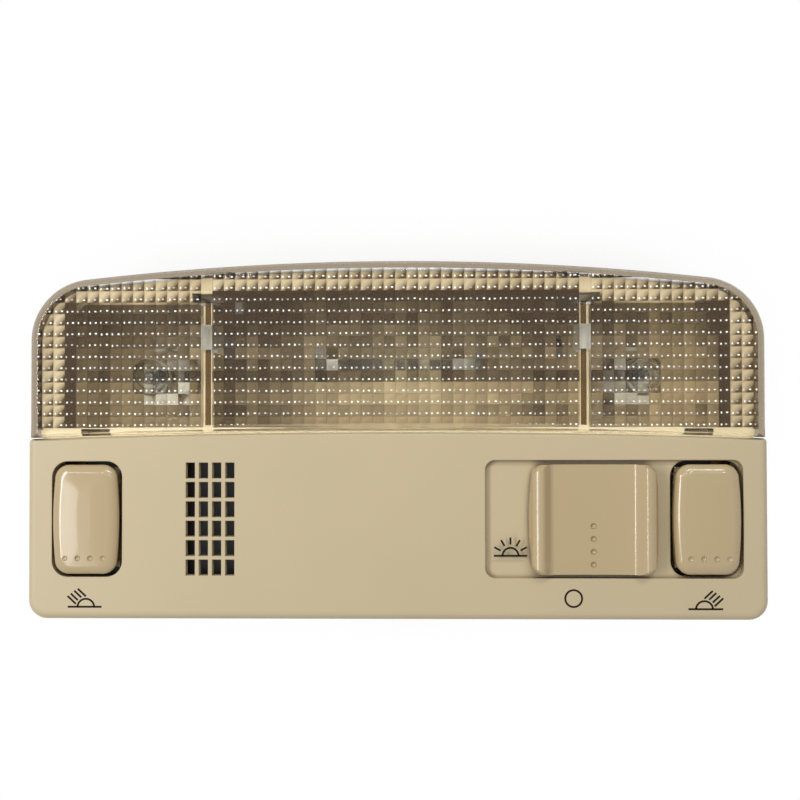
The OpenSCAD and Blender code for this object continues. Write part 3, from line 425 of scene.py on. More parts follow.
def housing_plastic(name, colour, shade, roughness, grain, edge):
    """The panel's plastic, with painted shade in narrow gaps and in the chambers under the lens, and
    painted crossing stripes of light and shade in the chambers.
    """
    f = Finish(name)
    x, y, z = f.along()
    move = place()
    low, high, joint = (
        (move @ Vector((0, v, 0))).y for v in (CHAMBER_LOW_Y - 0.7, CHAMBER_HIGH_Y, JOINT_Y)
    )
    under_rim = (move @ Vector((0, 0, RIM_Z - 1.2))).z
    inside = y.above(low) * (high - y).above(0.0)
    inside = inside * (under_rim - z).above(0.0) * (CHAMBER_HW / 1000 - x.size()).above(0.0)
    # Painted light and shade: crossing stripes, as light through the prisms would lay them, make the
    # chambers darker in places
    across = f.value("TexNoise", "Fac", {"noise_dimensions": "1D"}, W=x, Scale=210.0, Detail=1.0)
    up = f.value("TexNoise", "Fac", {"noise_dimensions": "1D"}, W=y + 3.0, Scale=260.0, Detail=1.0)
    painted_light_bands = ((across + up) * 1.9 - 1.25).clamped()
    tone = f.noise(38.0, 2.0)
    base = f.mix((tone - 0.3).clamped() * 1.6, colour, shade)
    # Painted shade: the chambers under the lens and the narrow gaps below the lens joint turn towards a
    # shadow brown
    dark = (inside * painted_light_bands * 0.25).maximum(f.gap() * (joint - y).above(0.0))
    base = f.mix(dark, base, linear(62, 50, 38))
    fine = f.noise(1900.0, 2.0, 0.6)
    return f.done(
        f.principled(
            Base_Color=base,
            Roughness=roughness + (f.noise(160.0, 3.0) - 0.5) * 0.06 - inside * 0.16,
            IOR=1.5,
            Normal=f.bump(fine, grain, 1.0, f.round_edges(edge)),
        )
    )


def prism_plastic(tint, pitch):
    """The pillows on the underside of the lens: each has its own tone, with painted light and shade, and
    two small painted glints.
    """
    f = Finish("prism_plastic")
    x, y = f.along()[:2]
    move = place()
    start, side_top, middle_top = (
        (move @ Vector((0, v, 0))).y for v in (FIRST_ROW_Y, SIDE_RIM_Y, MIDDLE_RIM_Y)
    )
    u, v = x / pitch, (y - start) / pitch
    a, b = u.fraction(), v.fraction()
    wide = x.size()
    column = wide / pitch
    cell = f.value(
        "TexWhiteNoise",
        "Value",
        {"noise_dimensions": "2D"},
        Vector=f.value("CombineXYZ", "Vector", None, X=u.floor(), Y=v.floor()),
    )

    # The strips over the partitions, the rim over the tray's edge and the ledge along the panel
    outside = wide.above(STRIP_COLUMN * pitch)
    strip = outside * (wide - (STRIP_COLUMN + 1) * pitch).below(0.0)
    ledge = (start - y).above(0.0)
    rim = wide.above(RIM_COLUMN * pitch).maximum(y.above(middle_top)).maximum(outside * y.above(side_top))
    rim = rim.maximum(ledge)
    # Painted shade: the column of pillows over the chamber's edge is painted dark
    painted_dark_column = wide.above(EDGE_COLUMN * pitch) * (1.0 - rim)

    # Painted light and shade of the chambers seen through the lens: rows, columns and single pillows
    # differ in tone at random, the tone darkens towards the upper rows, and the pillows over the bulbs are
    # painted lighter
    painted_light_over_bulb = (1.0 - (column - 22.5).size() / 6.0).clamped()
    painted_light_over_tube = (1.0 - column / 13.0).clamped() * 0.5
    tone = f.scatter(v.floor()) * 0.42 + f.scatter(u.floor()) * 0.3 + cell * 0.28 - 0.27
    tone = (tone + (6.0 - v) * 0.055 + painted_light_over_bulb.maximum(painted_light_over_tube) * 0.65).clamped() * (1.0 - painted_dark_column)
    base = f.mix(tone, (0.006, 0.003, 0.001), (1.0, 0.93, 0.81))
    base = f.mix(rim.maximum(strip), base, tint)
    base = f.mix(rim * (1.0 - ledge) * (cell * 0.35 + 0.02), base, (0.42, 0.32, 0.19))

    # Painted shade: dark lower right sides of the pillows, dark lines between the pillows where their
    # light would leave none, and in each strip a dark band for the shaded side of the partition
    inner = column.fraction()
    painted_wall_shade = strip * inner.above(0.1) * inner.below(0.6) * (side_top - y).above(0.0) * (1.0 - ledge)
    painted_side_shade = ((a - b) * 1.3 + 0.32 + cell * 0.3).clamped() * (1.0 - strip)
    line = ((a * 2.0 - 1.0).size().maximum((b * 2.0 - 1.0).size()) ** 9.0) * (1.0 - strip)
    side = (painted_side_shade * (0.25 + rim * 0.75)).maximum(line * 0.5) * (1.0 - ledge * 0.8)
    clear = f.principled(
        Base_Color=f.mix(side.maximum(painted_wall_shade), base, (0.04, 0.022, 0.008)),
        Roughness=0.08,
        IOR=1.49,
        Transmission_Weight=1.0,
        Specular_Tint=(0.15, 0.15, 0.15, 1.0),
    )
    # Painted shade: the darker pillows turn into a dull dark brown surface, standing in for the shaded
    # chambers behind them
    dark = f.principled(Base_Color=(0.075, 0.05, 0.03, 1.0), Roughness=0.5, Specular_IOR_Level=0.0)
    shader = f.blend((0.7 - tone * 1.3).clamped() * (1.0 - rim.maximum(strip)), clear, dark)

    def glint(u0, v0, wide_r, high_r, spread):
        """A painted glint: a bright spot in each pillow, of a strength and place that vary a little."""
        chance = (cell * spread).fraction()
        p, q = (a - u0 - chance * 0.14) / wide_r, (b - v0 - cell * 0.08) / high_r
        return ((1.0 - p * p - q * q) * 3.0).clamped() * (chance * 0.9 + 0.25).clamped()

    left = glint(u0=0.11, v0=0.2, wide_r=0.075, high_r=0.1, spread=7.3)
    right = glint(u0=0.6, v0=0.22, wide_r=0.11, high_r=0.07, spread=13.7)
    glints = left.maximum(right) * (1.0 - strip) * (1.0 - ledge)
    # Painted highlights: the glints are a white surface that glows a little
    white = f.principled(
        Base_Color=(0.96, 0.96, 0.94, 1.0),
        Roughness=0.3,
        Emission_Color=(1.0, 1.0, 1.0, 1.0),
        Emission_Strength=0.25,
    )
    return f.done(f.through(f.blend(glints, shader, white), (0.9, 0.88, 0.84)))


def metal(name, colour, dull, roughness, edge=0.00015, scratch=0.00002, painted_enclosed_shade=0.0):
    """A stamped or drawn metal with faint drawing lines, with painted shade, near black, where it is
    enclosed.
    """
    f = Finish(name)
    spots = f.noise(420.0, 4.0, 0.6)
    lines = f.value("TexNoise", "Fac", Vector=f.place(), Scale=3000.0, Detail=2.0)
    base = f.mix((spots - 0.45).clamped() * 2.5, colour, dull)
    if painted_enclosed_shade:
        # Painted shade: where other parts enclose it, the metal's colour darkens nearly to black
        open_above = f.value("AmbientOcclusion", "AO", {"samples": 6}, Distance=0.03)
        enclosed = ((0.85 - open_above) * 4.0).clamped()
        base = f.mix(enclosed * painted_enclosed_shade, base, tuple(c * 0.05 for c in dull))
    return f.done(
        f.principled(
            Base_Color=base,
            Metallic=1.0,
            Roughness=roughness + (spots - 0.5) * 0.15,
            Normal=f.bump(lines, scratch, 0.6, f.round_edges(edge)),
        )
    )


def glass(name, tint, ior, roughness, shadow, cloud=0.0, shine=1.0):
    """Clear glass or plastic that lets the lamps light what lies behind it, clouded by a white part."""
    f = Finish(name)
    smear = f.noise(90.0, 3.0)
    shader = f.principled(
        Base_Color=(*tint, 1.0),
        Roughness=roughness + smear * 0.01,
        IOR=ior,
        Transmission_Weight=1.0,
        Specular_Tint=(shine, shine, shine, 1.0),
    )
    if cloud:
        milk = f.principled(Base_Color=(0.9, 0.9, 0.88, 1.0), Roughness=0.4)
        shader = f.blend((smear * cloud * 2.0).clamped(), shader, milk)
    return f.done(f.through(shader, shadow))


def clear_plastic(tint):
    """The outside of the lens."""
    return glass("lens_plastic", tuple(tint), 1.49, 0.0, (0.86, 0.86, 0.84), shine=0.3)


def control_plastic(context):
    """The glossy plastic that the keys and the slide button share."""
    found = bpy.data.materials.get("control_plastic")
    if found:
        return found
    colour = tuple(context.scene.dome_light_finish.control)
    shade = tuple(c * 0.96 for c in colour)
    return moulded("control_plastic", colour, shade, 0.2, 0.000002, 0.00015, gloss=0.6)


# ---- Settings


class DomeLightLens(bpy.types.PropertyGroup):
    """The clear lens and its field of small pillow prisms."""

    pitch: FloatProperty(
        name="Prism pitch",
        description="Distance from one pillow to the next",
        default=0.00276,
        subtype="DISTANCE",
        unit="LENGTH",
        min=0.001,
        max=0.006,
        precision=5,
    )
    curve: FloatProperty(
        name="Pillow radius",
        description="Radius of the rounded underside of each pillow",
        default=0.0095,
        subtype="DISTANCE",
        unit="LENGTH",
        min=0.003,
        max=0.05,
    )
    steps: IntProperty(
        name="Pillow steps",
        description="Squares along one side of a pillow",
        default=6,
        min=2,
        max=10,
    )
    tint: FloatVectorProperty(
        name="Tint",
        description="Colour of the clear plastic",
        default=(0.97, 0.975, 0.96),
        subtype="COLOR",
        size=3,
        min=0,
        max=1,
    )


class DomeLightFinish(bpy.types.PropertyGroup):
    """Colours and textures of the mouldings."""

    panel: FloatVectorProperty(
        name="Panel",
        description="Colour of the panel moulding",
        default=linear(209, 192, 156),
        subtype="COLOR",
        size=3,
        min=0,
        max=1,
    )
    control: FloatVectorProperty(
        name="Keys and button",
        description="Colour of the keys and the slide button",
        default=linear(195, 172, 128),
        subtype="COLOR",
        size=3,
        min=0,
        max=1,
    )
    ink: FloatVectorProperty(
        name="Ink",
        description="Colour of the printed signs",
        default=linear(28, 22, 18),
        subtype="COLOR",
        size=3,
        min=0,
        max=1,
    )
    grain: FloatProperty(
        name="Grain depth",
        description="Depth of the fine mould grain on the panel",
        default=0.00003,
        subtype="DISTANCE",
        unit="LENGTH",
        min=0,
        max=0.0002,
        precision=6,
    )
    edge: FloatProperty(
        name="Edge radius",
        description="Radius that softens the edges of the mouldings",
        default=0.00035,
        subtype="DISTANCE",
        unit="LENGTH",
        min=0,
        max=0.002,
        precision=5,
    )


class DomeLightStage(bpy.types.PropertyGroup):
    """Camera, lamps and floor."""

    distance: FloatProperty(
        name="Camera distance",
        description="Distance from the camera to the panel",
        default=0.24,
        subtype="DISTANCE",
        unit="LENGTH",
        min=0.1,
        max=2,
    )
    low: FloatProperty(
        name="Key lamp",
        description="Power of the lamp at the lower left, which the left key mirrors",
        default=0.2,
        subtype="POWER",
        unit="POWER",
        min=0,
        max=100,
    )
    top: FloatProperty(
        name="Top lamp",
        description="Power of the lamp above",
        default=0.75,
        subtype="POWER",
        unit="POWER",
        min=0,
        max=100,
    )
    side: FloatProperty(
        name="Side lamp",
        description="Power of the tall lamp at the left",
        default=1.42,
        subtype="POWER",
        unit="POWER",
        min=0,
        max=100,
    )
    spark: FloatProperty(
        name="Spark lamps",
        description="Power of each small lamp that glints on the keys and the slide button",
        default=0.05,
        subtype="POWER",
        unit="POWER",
        min=0,
        max=10,
    )


# ---- Pieces


class DOMELIGHT_OT_lens(bpy.types.Operator):
    """Build the clear lens with its pillow prisms, tongues and snap legs"""

    bl_idname = "domelight.lens"
    bl_label = "Lens"
    bl_options = {"REGISTER", "UNDO"}

    def pillows(self, pitch, radius, steps):
        """A closed block whose top is the underside of the lens: rows of rounded pillows."""
        columns = math.ceil(LENS_HW / pitch) + 1
        rows = math.ceil(HIGH_Y / pitch) + 1
        gap = 0.015
        crown = radius - math.sqrt(radius**2 - pitch**2 / 2)
        low = LENS_IN_Z - 0.1 - crown

        def samples(start, smooth):
            if smooth:
                return [(start + gap, None), (start + pitch - gap, None)]
            return [(start + pitch * k / steps, k / steps) for k in range(steps + 1)]

        xs = []
        for i in range(-columns, columns):
            new = samples(i * pitch, i in (STRIP_COLUMN, -STRIP_COLUMN - 1))
            xs += new[1:] if xs and abs(xs[-1][0] - new[0][0]) < 1e-6 else new
        ys = [(-6.0, None), (FIRST_ROW_Y - gap, None)]
        for j in range(rows):
            new = samples(FIRST_ROW_Y + j * pitch, False)
            ys += new[1:] if abs(ys[-1][0] - new[0][0]) < 1e-6 else new

        def height(u, v):
            if u is None or v is None:
                return LENS_IN_Z
            a, b = (u - 0.5) * pitch, (v - 0.5) * pitch
            return low + radius - math.sqrt(radius**2 - a * a - b * b)

        n, m = len(xs), len(ys)
        points = [(x, y, height(u, v)) for y, v in ys for x, u in xs]
        faces = [
            (j * n + i, j * n + i + 1, (j + 1) * n + i + 1, (j + 1) * n + i)
            for j in range(m - 1)
            for i in range(n - 1)
        ]
        rim = (
            list(range(n))
            + [j * n + n - 1 for j in range(1, m)]
            + [(m - 1) * n + i for i in range(n - 2, -1, -1)]
            + [j * n for j in range(m - 2, 0, -1)]
        )
        base = len(points)
        points += [(points[k][0], points[k][1], 20.0) for k in rim]
        for k in range(len(rim)):
            after = (k + 1) % len(rim)
            faces.append((rim[after], rim[k], base + k, base + after))
        faces.append(tuple(base + k for k in reversed(range(len(rim)))))
        mesh = bpy.data.meshes.new("pillows")
        mesh.from_pydata(points, [], faces)
        return mesh

    def execute(self, context):
        s = context.scene.dome_light_lens
        pitch, radius = s.pitch * 1000, s.curve * 1000
        steps = 14
        rings = [lift(lens_outline(0, 0), FLANGE_Z)]
        for i in range(steps + 1):
            a = math.pi / 2 * i / steps
            d = LENS_EDGE_R * (1 - math.cos(a))
            rings.append(lift(lens_outline(d, d * 0.4), LENS_Z - LENS_EDGE_R * (1 - math.sin(a))))
        rings.append(lift(lens_outline(LENS_EDGE_R + 0.3, LENS_EDGE_R * 0.4 + 0.2), LENS_Z))
        lens = skin("lens", rings)
        inner = lens_outline(LENS_T, LENS_T)
        hollow = skin("hollow", [lift(inner, FLANGE_Z - 2), lift(inner, LENS_Z + 4)])
        hollow = combine(hollow, self.pillows(pitch, radius, s.steps), "INTERSECT")
        lens = combine(lens, hollow, "DIFFERENCE")
        edge = LENS_HW - LENS_T - 1
        foot = block((-edge, JOINT_Y - 3, FLANGE_Z - 1), (edge, CHAMBER_LOW_Y + 3, RIM_Z + 0.3))
        lens = combine(lens, foot, "DIFFERENCE")
        for side in (-1, 1):
            lens = combine(lens, self.leg(side * (STRIP_COLUMN + 0.5) * pitch), "UNION")
            lens = combine(lens, self.tongue(side * 73.0), "UNION")
        ob = piece("lens_shell", lens, "lamp", clear_plastic(s.tint), ["lens"], 8.0)
        tint = tuple(s.tint)
        ob.data.materials.append(glass("frosted_plastic", tint, 1.49, 0.14, (0.7, 0.7, 0.7), 0.45))
        ob.data.materials.append(prism_plastic(tint, s.pitch))
        # Painted shade: the clear skirt is given a dark brown tint for the dark look of the lens's edge
        ob.data.materials.append(glass("skirt_plastic", (0.15, 0.1, 0.05), 1.49, 0.05, (0.6, 0.6, 0.58)))
        back = place().inverted()
        for face in ob.data.polygons:
            x, y, z = back @ face.center
            if z < LENS_IN_Z - 0.6 and 15 < y < 32 and abs(x) < 50:
                face.material_index = 1  # the snap legs
            elif LENS_IN_Z - 0.6 < z < LENS_IN_Z + 0.2 and face.normal.z < -0.7:
                face.material_index = 2  # the pillows
            elif z < LENS_Z - 1.4 and (y > 4 or abs(x) > 86):
                face.material_index = 3  # the skirt, but not along the panel
        return {"FINISHED"}

    def leg(self, x):
        """Snap leg with a tapered tip."""
        w, y, hl, tip, low = 1.3, 24.8, 3.0, 0.5, LENS_IN_Z - 13.0
        shaft = block((x - w, y - hl, low + 3), (x + w, y + hl, LENS_IN_Z + 0.9))
        end = tapered(
            (x + tip - w, y - hl + tip, low),
            (x + w - tip, y + hl - tip),
            (x - w, y - hl, low + 3),
            (x + w, y + hl),
        )
        barb = tapered(
            (x - w, y - hl, low + 3.4), (x + w, y), (x - w, y - hl - 0.5, low + 6), (x + w, y)
        )
        return combine(combine(shaft, end, "UNION"), barb, "UNION")

    def tongue(self, x):
        """Tongue with a flared root and a tapered tip that hooks into the rim."""
        y, hw, ht, tip, flare = JOINT_Y + JOINT_GAP + 1.45, 3.2, 0.6, 0.3, 0.3
        root = tapered(
            (x - hw, y - ht, RIM_UNDER_Z),
            (x + hw, y + ht),
            (x - hw - flare, y - ht, RIM_Z + 1.4),
            (x + hw + flare, y + ht),
        )
        end = tapered(
            (x - hw + tip, y - ht + tip, RIM_UNDER_Z - 1.5),
            (x + hw - tip, y + ht - tip),
            (x - hw, y - ht, RIM_UNDER_Z + 0.01),
            (x + hw, y + ht),
        )
        return combine(root, end, "UNION")


class DOMELIGHT_OT_keys(bpy.types.Operator):
    """Build the two reading light keys with their rounded caps and dimples"""

    bl_idname = "domelight.keys"
    bl_label = "Keys"
    bl_options = {"REGISTER", "UNDO"}

    def execute(self, context):
        material = control_plastic(context)
        for side, name in ((-1, "left"), (1, "right")):
            piece(
                f"key_cap_{name}",
                self.key(side * KEY_X),
                f"key_{name}",
                material,
                [f"key_{name}"],
                24.0,
            )
        return {"FINISHED"}

    def key(self, x):
        """A cap with round flanks and a slight crown, on a hollow body with its two pins."""
        bow, drop, inset, crown, corner, steps = 0.45, 1.9, 2.7, 0.18, 3.4, 22
        w = KEY_W - 2 * bow + 0.3

        def ring(e, z):
            outline = key_outline(w - 2 * e, KEY_L - 2 * e, corner - e * 0.5, bow)
            return [(p + x, q + ROW_Y, z) for p, q in outline]

        foot = key_outline(w - 0.8, KEY_L - 0.8, 3, bow)
        rings = [[(p + x, q + ROW_Y, 36.2) for p, q in foot]]
        for i in range(steps + 1):
            a = math.pi / 2 * i / steps
            z = KEY_TOP_Z - crown - (drop - crown) * (1 - math.sin(a))
            rings.append(ring(inset * (1 - math.cos(a)), z))
        for i in range(1, 9):
            rings.append(ring(inset + (w / 2 - inset) * i / 10, KEY_TOP_Z - crown * (1 - i / 10) ** 2))
        cap = skin("key", rings)
        cap.transform(Matrix.Translation((-0.25 if x > 0 else 0.0, 0, 0)))
        skirt, wall, reach = (KEY_W - 1.2) / 2, 1.4, 2.55
        pad = TRUNNION_Z - 0.6
        low, high = ROW_Y - KEY_L / 2, ROW_Y + KEY_L / 2
        body = block((x - skirt, low + 1.2, pad), (x + skirt, high - 0.8, 37.2))
        cap = combine(cap, body, "UNION")
        pins = pin(x - skirt - reach, x + skirt + reach, TRUNNION_Y, TRUNNION_Z, 1.0)
        cap = combine(cap, pins, "UNION")
        hollow = block(
            (x - skirt + wall, TRUNNION_Y - 2.4, pad - 1),
            (x + skirt - wall, TRUNNION_Y - PLUNGER_ARM + 4, KEY_TOP_Z - 4),
        )
        cap = combine(cap, hollow, "DIFFERENCE")
        for i in range(4):
            dent = ball(x + (i - 1.5) * DIMPLE_PITCH, low + 3.9, KEY_TOP_Z + DIMPLE_LIFT, DIMPLE_R)
            cap = combine(cap, dent, "DIFFERENCE")
        return cap


class DOMELIGHT_OT_button(bpy.types.Operator):
    """Build the slide button with its two ridges, hollow and dimples"""

    bl_idname = "domelight.button"
    bl_label = "Slide button"
    bl_options = {"REGISTER", "UNDO"}

    def section(self):
        """Section across X, from one outer foot over both ridges to the other."""
        hw, run, r, sag = KNOB_W / 2, 2.7, 3.0, 0.35
        crest, foot = hw - run, hw - 6.2
        ridge, hollow = KNOB_RIDGE_Z, KNOB_HOLLOW_Z
        side = []
        for k in range(17):
            a = math.pi / 2 * k / 16
            side.append((crest + run * math.cos(a), ridge - r + r * math.sin(a)))
        slope = []
        for k in range(1, 15):
            t = k / 15
            z = hollow + (ridge - hollow) * (1 + math.cos(math.pi * t)) / 2
            slope.append((crest - (crest - foot) * (t * 0.8 + 0.2 * t * t), z))
        floor = []
        for k in range(12):
            x = (foot - 1) * (1 - k / 12)
            floor.append((x, hollow - sag * (1 - (x / foot) ** 2)))
        right = [(hw, 38.7)] + side + slope + floor
        return right + [(0.0, hollow - sag)] + [(-x, z) for x, z in reversed(right)]

    def execute(self, context):
        bow, corner, inset, drop, steps = 0.6, 2.6, 2.2, 2.6, 18
        w = KNOB_W - 2 * bow
        rings = [self.moved(key_outline(w, KNOB_L, corner, bow), 38.65)]
        for i in range(steps + 1):
            a = math.pi / 2 * i / steps
            e = inset * (1 - math.cos(a))
            ring = key_outline(w - e, KNOB_L - 2 * e, corner - e * 0.3, bow)
            rings.append(self.moved(ring, KNOB_RIDGE_Z + 0.4 - drop * (1 - math.sin(a))))
        half = KNOB_L / 2 + 1
        section = self.section()
        body = skin("button", [[(KNOB_X + x, ROW_Y + y, z) for x, z in section] for y in (half, -half)])
        body = combine(skin("outer", rings), body, "INTERSECT")
        stem = block((KNOB_X - 3, ROW_Y - 5, 33.5), (KNOB_X + 3, ROW_Y + 5, FACE_Z + 0.1))
        body = combine(body, stem, "UNION")
        for i in range(4):
            dent = ball(KNOB_X, ROW_Y - 1.6 - i * DIMPLE_PITCH, FACE_Z + 0.75 + DIMPLE_LIFT, DIMPLE_R)
            body = combine(body, dent, "DIFFERENCE")
        material = control_plastic(context)
        piece("slide_button", body, "slider", material, ["slide_knob"], 24.0)
        return {"FINISHED"}

    def moved(self, ring, z):
        return [(x + KNOB_X, y + ROW_Y, z) for x, y in ring]


class DOMELIGHT_OT_signs(bpy.types.Operator):
    """Print the four small signs on the panel"""

    bl_idname = "domelight.signs"
    bl_label = "Ink signs"
    bl_options = {"REGISTER", "UNDO"}

    line = 0.46  # width of the print

    def stroke(self, points, closed=False):
        """A thin raised line along a path, with square ends."""
        n, hw = len(points), self.line / 2
        left, right = [], []
        for i, (x, y) in enumerate(points):
            a = points[(i - 1) % n] if closed or i else points[0]
            b = points[(i + 1) % n] if closed or i < n - 1 else points[-1]
            d = Vector((b[0] - a[0], b[1] - a[1])).normalized()
            left.append((x - d.y * hw, y + d.x * hw))
            right.append((x + d.y * hw, y - d.x * hw))
        low, high = FACE_Z - 0.03, FACE_Z + 0.025
        verts = [(*p, z) for z in (low, high) for p in left + right]
        faces = []
        for i in range(n if closed else n - 1):
            j = (i + 1) % n
            lo, ro = (i, j), (n + i, n + j)
            up = 2 * n
            faces.append((ro[0] + up, ro[1] + up, lo[1] + up, lo[0] + up))
            faces.append((lo[0], lo[1], ro[1], ro[0]))
            faces.append((lo[0] + up, lo[1] + up, lo[1], lo[0]))
            faces.append((ro[0], ro[1], ro[1] + up, ro[0] + up))
        if not closed:
            faces.append((0, n, 3 * n, 2 * n))
            faces.append((2 * n - 1, n - 1, 3 * n - 1, 4 * n - 1))
        return verts, faces

    def sign(self, name, strokes, material):
        """One sign made of strokes, as a piece of its own."""
        verts, faces = [], []
        for v, f in strokes:
            faces += [tuple(k + len(verts) for k in face) for face in f]
            verts += v
        mesh = bpy.data.meshes.new(name)
        mesh.from_pydata(verts, [], faces)
        mesh.validate()
        return piece(name, mesh, "lamp", material)

    def execute(self, context):
        f = Finish("ink")
        ink = context.scene.dome_light_finish.ink
        worn = f.noise(900.0, 3.0, 0.6)
        black = f.done(
            f.principled(
                Base_Color=f.mix((worn - 0.4).clamped() * 0.8, tuple(ink), tuple(c * 1.7 for c in ink)),
                Roughness=0.7,
                Specular_IOR_Level=0.15,
            )
        )
        ring = arc(42.5, -37.9, 2.0, 0, 352.5, 47)
        self.sign("sign_off", [self.stroke(ring, True)], black)
        cx, cy = 27.5, -27.75
        sun = [self.stroke([(cx - 4.0, cy), (cx + 4.0, cy)]), self.stroke(arc(cx, cy, 1.9, 0, 180, 24))]
        for degrees in range(28, 153, 31):
            a = math.radians(degrees)
            sun.append(self.stroke([(cx + r * math.cos(a), cy + r * math.sin(a)) for r in (2.7, 4.4)]))
        self.sign("sign_on", sun, black)
        for side, cx, cy, name in ((-1, -74.9, -40.1, "left"), (1, 73.8, -40.35, "right")):
            lines = [self.stroke([(cx - 4.1, cy), (cx + 4.1, cy)])]
            dome = cx + side * -0.3
            angles = [math.pi * k / 20 for k in range(21)]
            lines.append(self.stroke([(dome + 2.0 * math.cos(a), cy + 1.9 * math.sin(a)) for a in angles]))
            for degrees, length in ((90, 2.7), (116, 2.35), (141, 2.35), (164, 2.8)):
                a = math.radians(degrees)
                x, y = dome - side * 2.5 * math.cos(a), cy + 2.5 * math.sin(a)
                lines.append(self.stroke([(x, y), (x + side * 0.73 * length, y + 0.68 * length)]))
            self.sign(f"sign_reading_{name}", lines, black)
        return {"FINISHED"}


class DOMELIGHT_OT_finishes(bpy.types.Operator):
    """Give every carried-over piece its finish"""

    bl_idname = "domelight.finishes"
    bl_label = "Finishes"
    bl_options = {"REGISTER", "UNDO"}

    def execute(self, context):
        s = context.scene.dome_light_finish
        panel = tuple(s.panel)
        beige = housing_plastic(
            "panel_plastic", panel, tuple(c * 0.95 for c in panel), 0.42, s.grain, s.edge
        )
        grain, edge = 0.00001, 0.0002
        black = moulded("black_plastic", linear(34, 34, 35), linear(28, 28, 30), 0.42, grain, edge)
        white = moulded("white_plastic", linear(226, 224, 216), linear(214, 211, 202), 0.4, grain, edge)
        brass = metal("contact_brass", linear(203, 170, 104), linear(176, 140, 82), 0.28, painted_enclosed_shade=0.95)
        steel = metal("spring_steel", linear(206, 205, 200), linear(168, 167, 164), 0.24)
        tin = metal("tinned_cap", linear(216, 214, 208), linear(178, 176, 170), 0.3)
        clear = glass("bulb_glass", (0.98, 0.985, 0.98), 1.5, 0.0, (0.92, 0.93, 0.92))
        wire = metal("tungsten", linear(120, 116, 112), linear(86, 84, 82), 0.45)
        kinds = {
            "panel_plastic": beige,
            "black_plastic": black,
            "white_plastic": white,
            "contact_brass": brass,
            "spring_steel": steel,
            "tinned_cap": tin,
            "bulb_glass": clear,
        }
        slots = {p["node"]: p["material_slot"] for p in frame["record"]["subparts"]}
        for name, ob in frame["nodes"].items():
            if ob.hide_render:
                continue
            material = wire if "filament" in name else kinds.get(slots.get(name), black)
            ob.data.materials.clear()
            ob.data.materials.append(material)
            ob.data.polygons.foreach_set("use_smooth", [True] * len(ob.data.polygons))
        return {"FINISHED"}


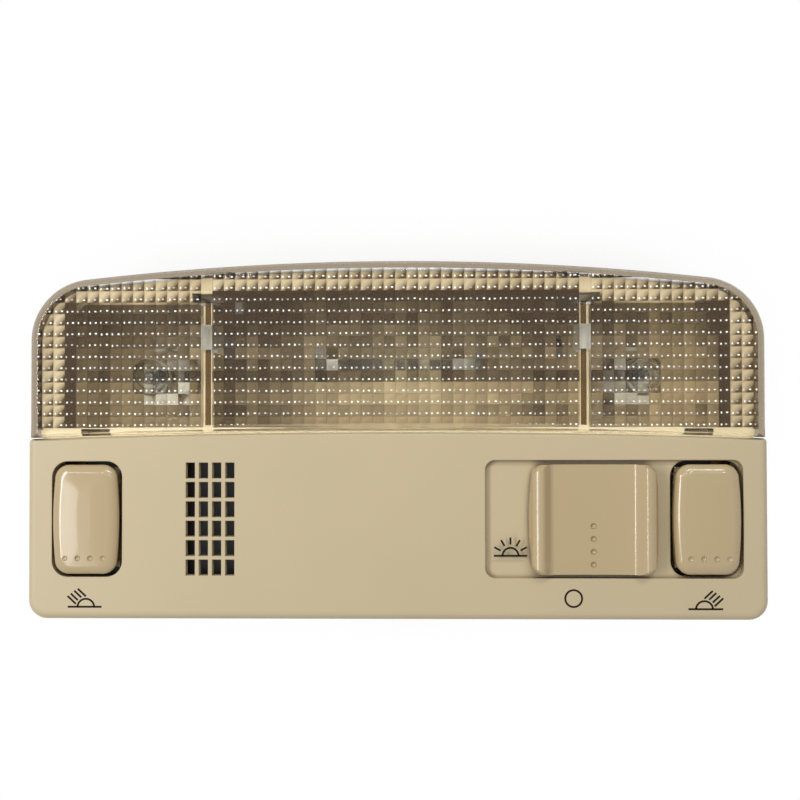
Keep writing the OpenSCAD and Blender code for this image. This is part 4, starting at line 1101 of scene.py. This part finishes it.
class DOMELIGHT_OT_stage(bpy.types.Operator):
    """Set up the floor, lamps, sky and camera"""

    bl_idname = "domelight.stage"
    bl_label = "Stage"
    bl_options = {"REGISTER", "UNDO"}

    def execute(self, context):
        scene = context.scene
        s = scene.dome_light_stage
        scene.view_settings.view_transform = "Standard"
        self.floor()
        self.sky(scene)
        face = place() @ Vector((0, 0, FACE_Z))
        for key, name, offset, width, height in LAMPS:
            self.lamp(name, face + Vector(offset), face, width, height, getattr(s, key))
        for i in range(5):
            spot = face + Vector((SPARK_PITCH * (i - 2), SPARK_Y, SPARK_Z))
            self.lamp(f"Spark lamp {i + 1}", spot, face, SPARK_SIZE, SPARK_SIZE, s.spark)
        data = bpy.data.cameras.new("Camera")
        data.lens, data.sensor_width = 45.0, 36.0
        data.clip_start, data.clip_end = 0.01, 20.0
        cam = bpy.data.objects.new("Camera", data)
        scene.collection.objects.link(cam)
        cam.location = face + Vector((0.006, 0.0056, s.distance))
        cam.rotation_euler = (math.radians(0.94), math.radians(1.16), math.radians(-0.09))
        scene.camera = cam
        return {"FINISHED"}

    def floor(self):
        """A pale floor that is white to look at, but keeps the shadow near the object."""
        f = Finish("floor")
        seen = self.seen(f.tree)
        pale = f.value("BsdfDiffuse", "BSDF", Color=(0.9, 0.9, 0.9, 1.0))
        white = f.value("Emission", "Emission", Color=(1.0, 1.0, 1.0, 1.0), Strength=1.0)
        open_above = f.value("AmbientOcclusion", "AO", {"samples": 8}, Distance=0.03)
        material = f.done(f.blend(seen * (open_above * 1.3 - 0.2).clamped(), pale, white))
        mesh = bpy.data.meshes.new("floor")
        mesh.from_pydata([(-3, -3, 0), (3, -3, 0), (3, 3, 0), (-3, 3, 0)], [], [(0, 1, 2, 3)])
        mesh.materials.append(material)
        ob = bpy.data.objects.new("floor", mesh)
        bpy.context.scene.collection.objects.link(ob)

    def seen(self, tree):
        """1 for rays that show the background itself, 0 for those that carry its light."""
        path = tree.nodes.new("ShaderNodeLightPath")
        names = ("Is Camera Ray", "Is Glossy Ray", "Is Transmission Ray")
        camera, glossy, clear = (Value(tree, path.outputs[n]) for n in names)
        return camera.maximum(glossy).maximum(clear)

    def sky(self, scene):
        """A sky that is white to look at and lights the object at a lower level."""
        world = bpy.data.worlds.new("Sky")
        scene.world = world
        world.use_nodes = True
        tree = world.node_tree
        tree.nodes.clear()
        light = tree.nodes.new("ShaderNodeBackground")
        light.inputs[0].default_value = (1, 1, 1, 1)
        level = SKY_LEVEL + self.seen(tree) * (1.0 - SKY_LEVEL)
        tree.links.new(level.socket, light.inputs[1])
        out = tree.nodes.new("ShaderNodeOutputWorld")
        tree.links.new(light.outputs[0], out.inputs[0])

    def lamp(self, name, location, aim, width, height, power):
        """A lamp that faces aim, with its height along Y, and that isn't seen through the lens."""
        data = bpy.data.lights.new(name, "AREA")
        data.shape, data.size, data.size_y, data.energy = "RECTANGLE", width, height, power
        ob = bpy.data.objects.new(name, data)
        back = (location - aim).normalized()
        right = Vector((0, 1, 0)).cross(back).normalized()
        turn = Matrix((right, back.cross(right), back)).transposed()
        ob.matrix_world = Matrix.Translation(location) @ turn.to_4x4()
        ob.visible_transmission = False
        bpy.context.scene.collection.objects.link(ob)


# ---- Panel and registration


class DOMELIGHT_PT_panel(bpy.types.Panel):
    """Sizes and finishes of the dome light"""

    bl_idname = "DOMELIGHT_PT_panel"
    bl_label = "Dome Light"
    bl_space_type = "VIEW_3D"
    bl_region_type = "UI"
    bl_category = "Dome Light"

    def draw(self, context):
        layout = self.layout
        for group, operators in (
            ("dome_light_lens", ("lens",)),
            ("dome_light_finish", ("keys", "button", "signs", "finishes")),
            ("dome_light_stage", ("stage",)),
        ):
            box = layout.box()
            settings = getattr(context.scene, group)
            for name in settings.__annotations__:
                box.prop(settings, name)
            for name in operators:
                box.operator(f"domelight.{name}")


classes = (
    DomeLightLens,
    DomeLightFinish,
    DomeLightStage,
    DOMELIGHT_OT_lens,
    DOMELIGHT_OT_keys,
    DOMELIGHT_OT_button,
    DOMELIGHT_OT_signs,
    DOMELIGHT_OT_finishes,
    DOMELIGHT_OT_stage,
    DOMELIGHT_PT_panel,
)


def register():
    for item in classes:
        bpy.utils.register_class(item)
    bpy.types.Scene.dome_light_lens = PointerProperty(type=DomeLightLens)
    bpy.types.Scene.dome_light_finish = PointerProperty(type=DomeLightFinish)
    bpy.types.Scene.dome_light_stage = PointerProperty(type=DomeLightStage)


def unregister():
    del bpy.types.Scene.dome_light_stage
    del bpy.types.Scene.dome_light_finish
    del bpy.types.Scene.dome_light_lens
    for item in reversed(classes):
        bpy.utils.unregister_class(item)


def main():
    register()
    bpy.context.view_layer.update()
    bpy.ops.domelight.lens()
    bpy.ops.domelight.keys()
    bpy.ops.domelight.button()
    bpy.ops.domelight.signs()
    bpy.ops.domelight.finishes()
    bpy.ops.domelight.stage()


if __name__ == "__main__":
    main()
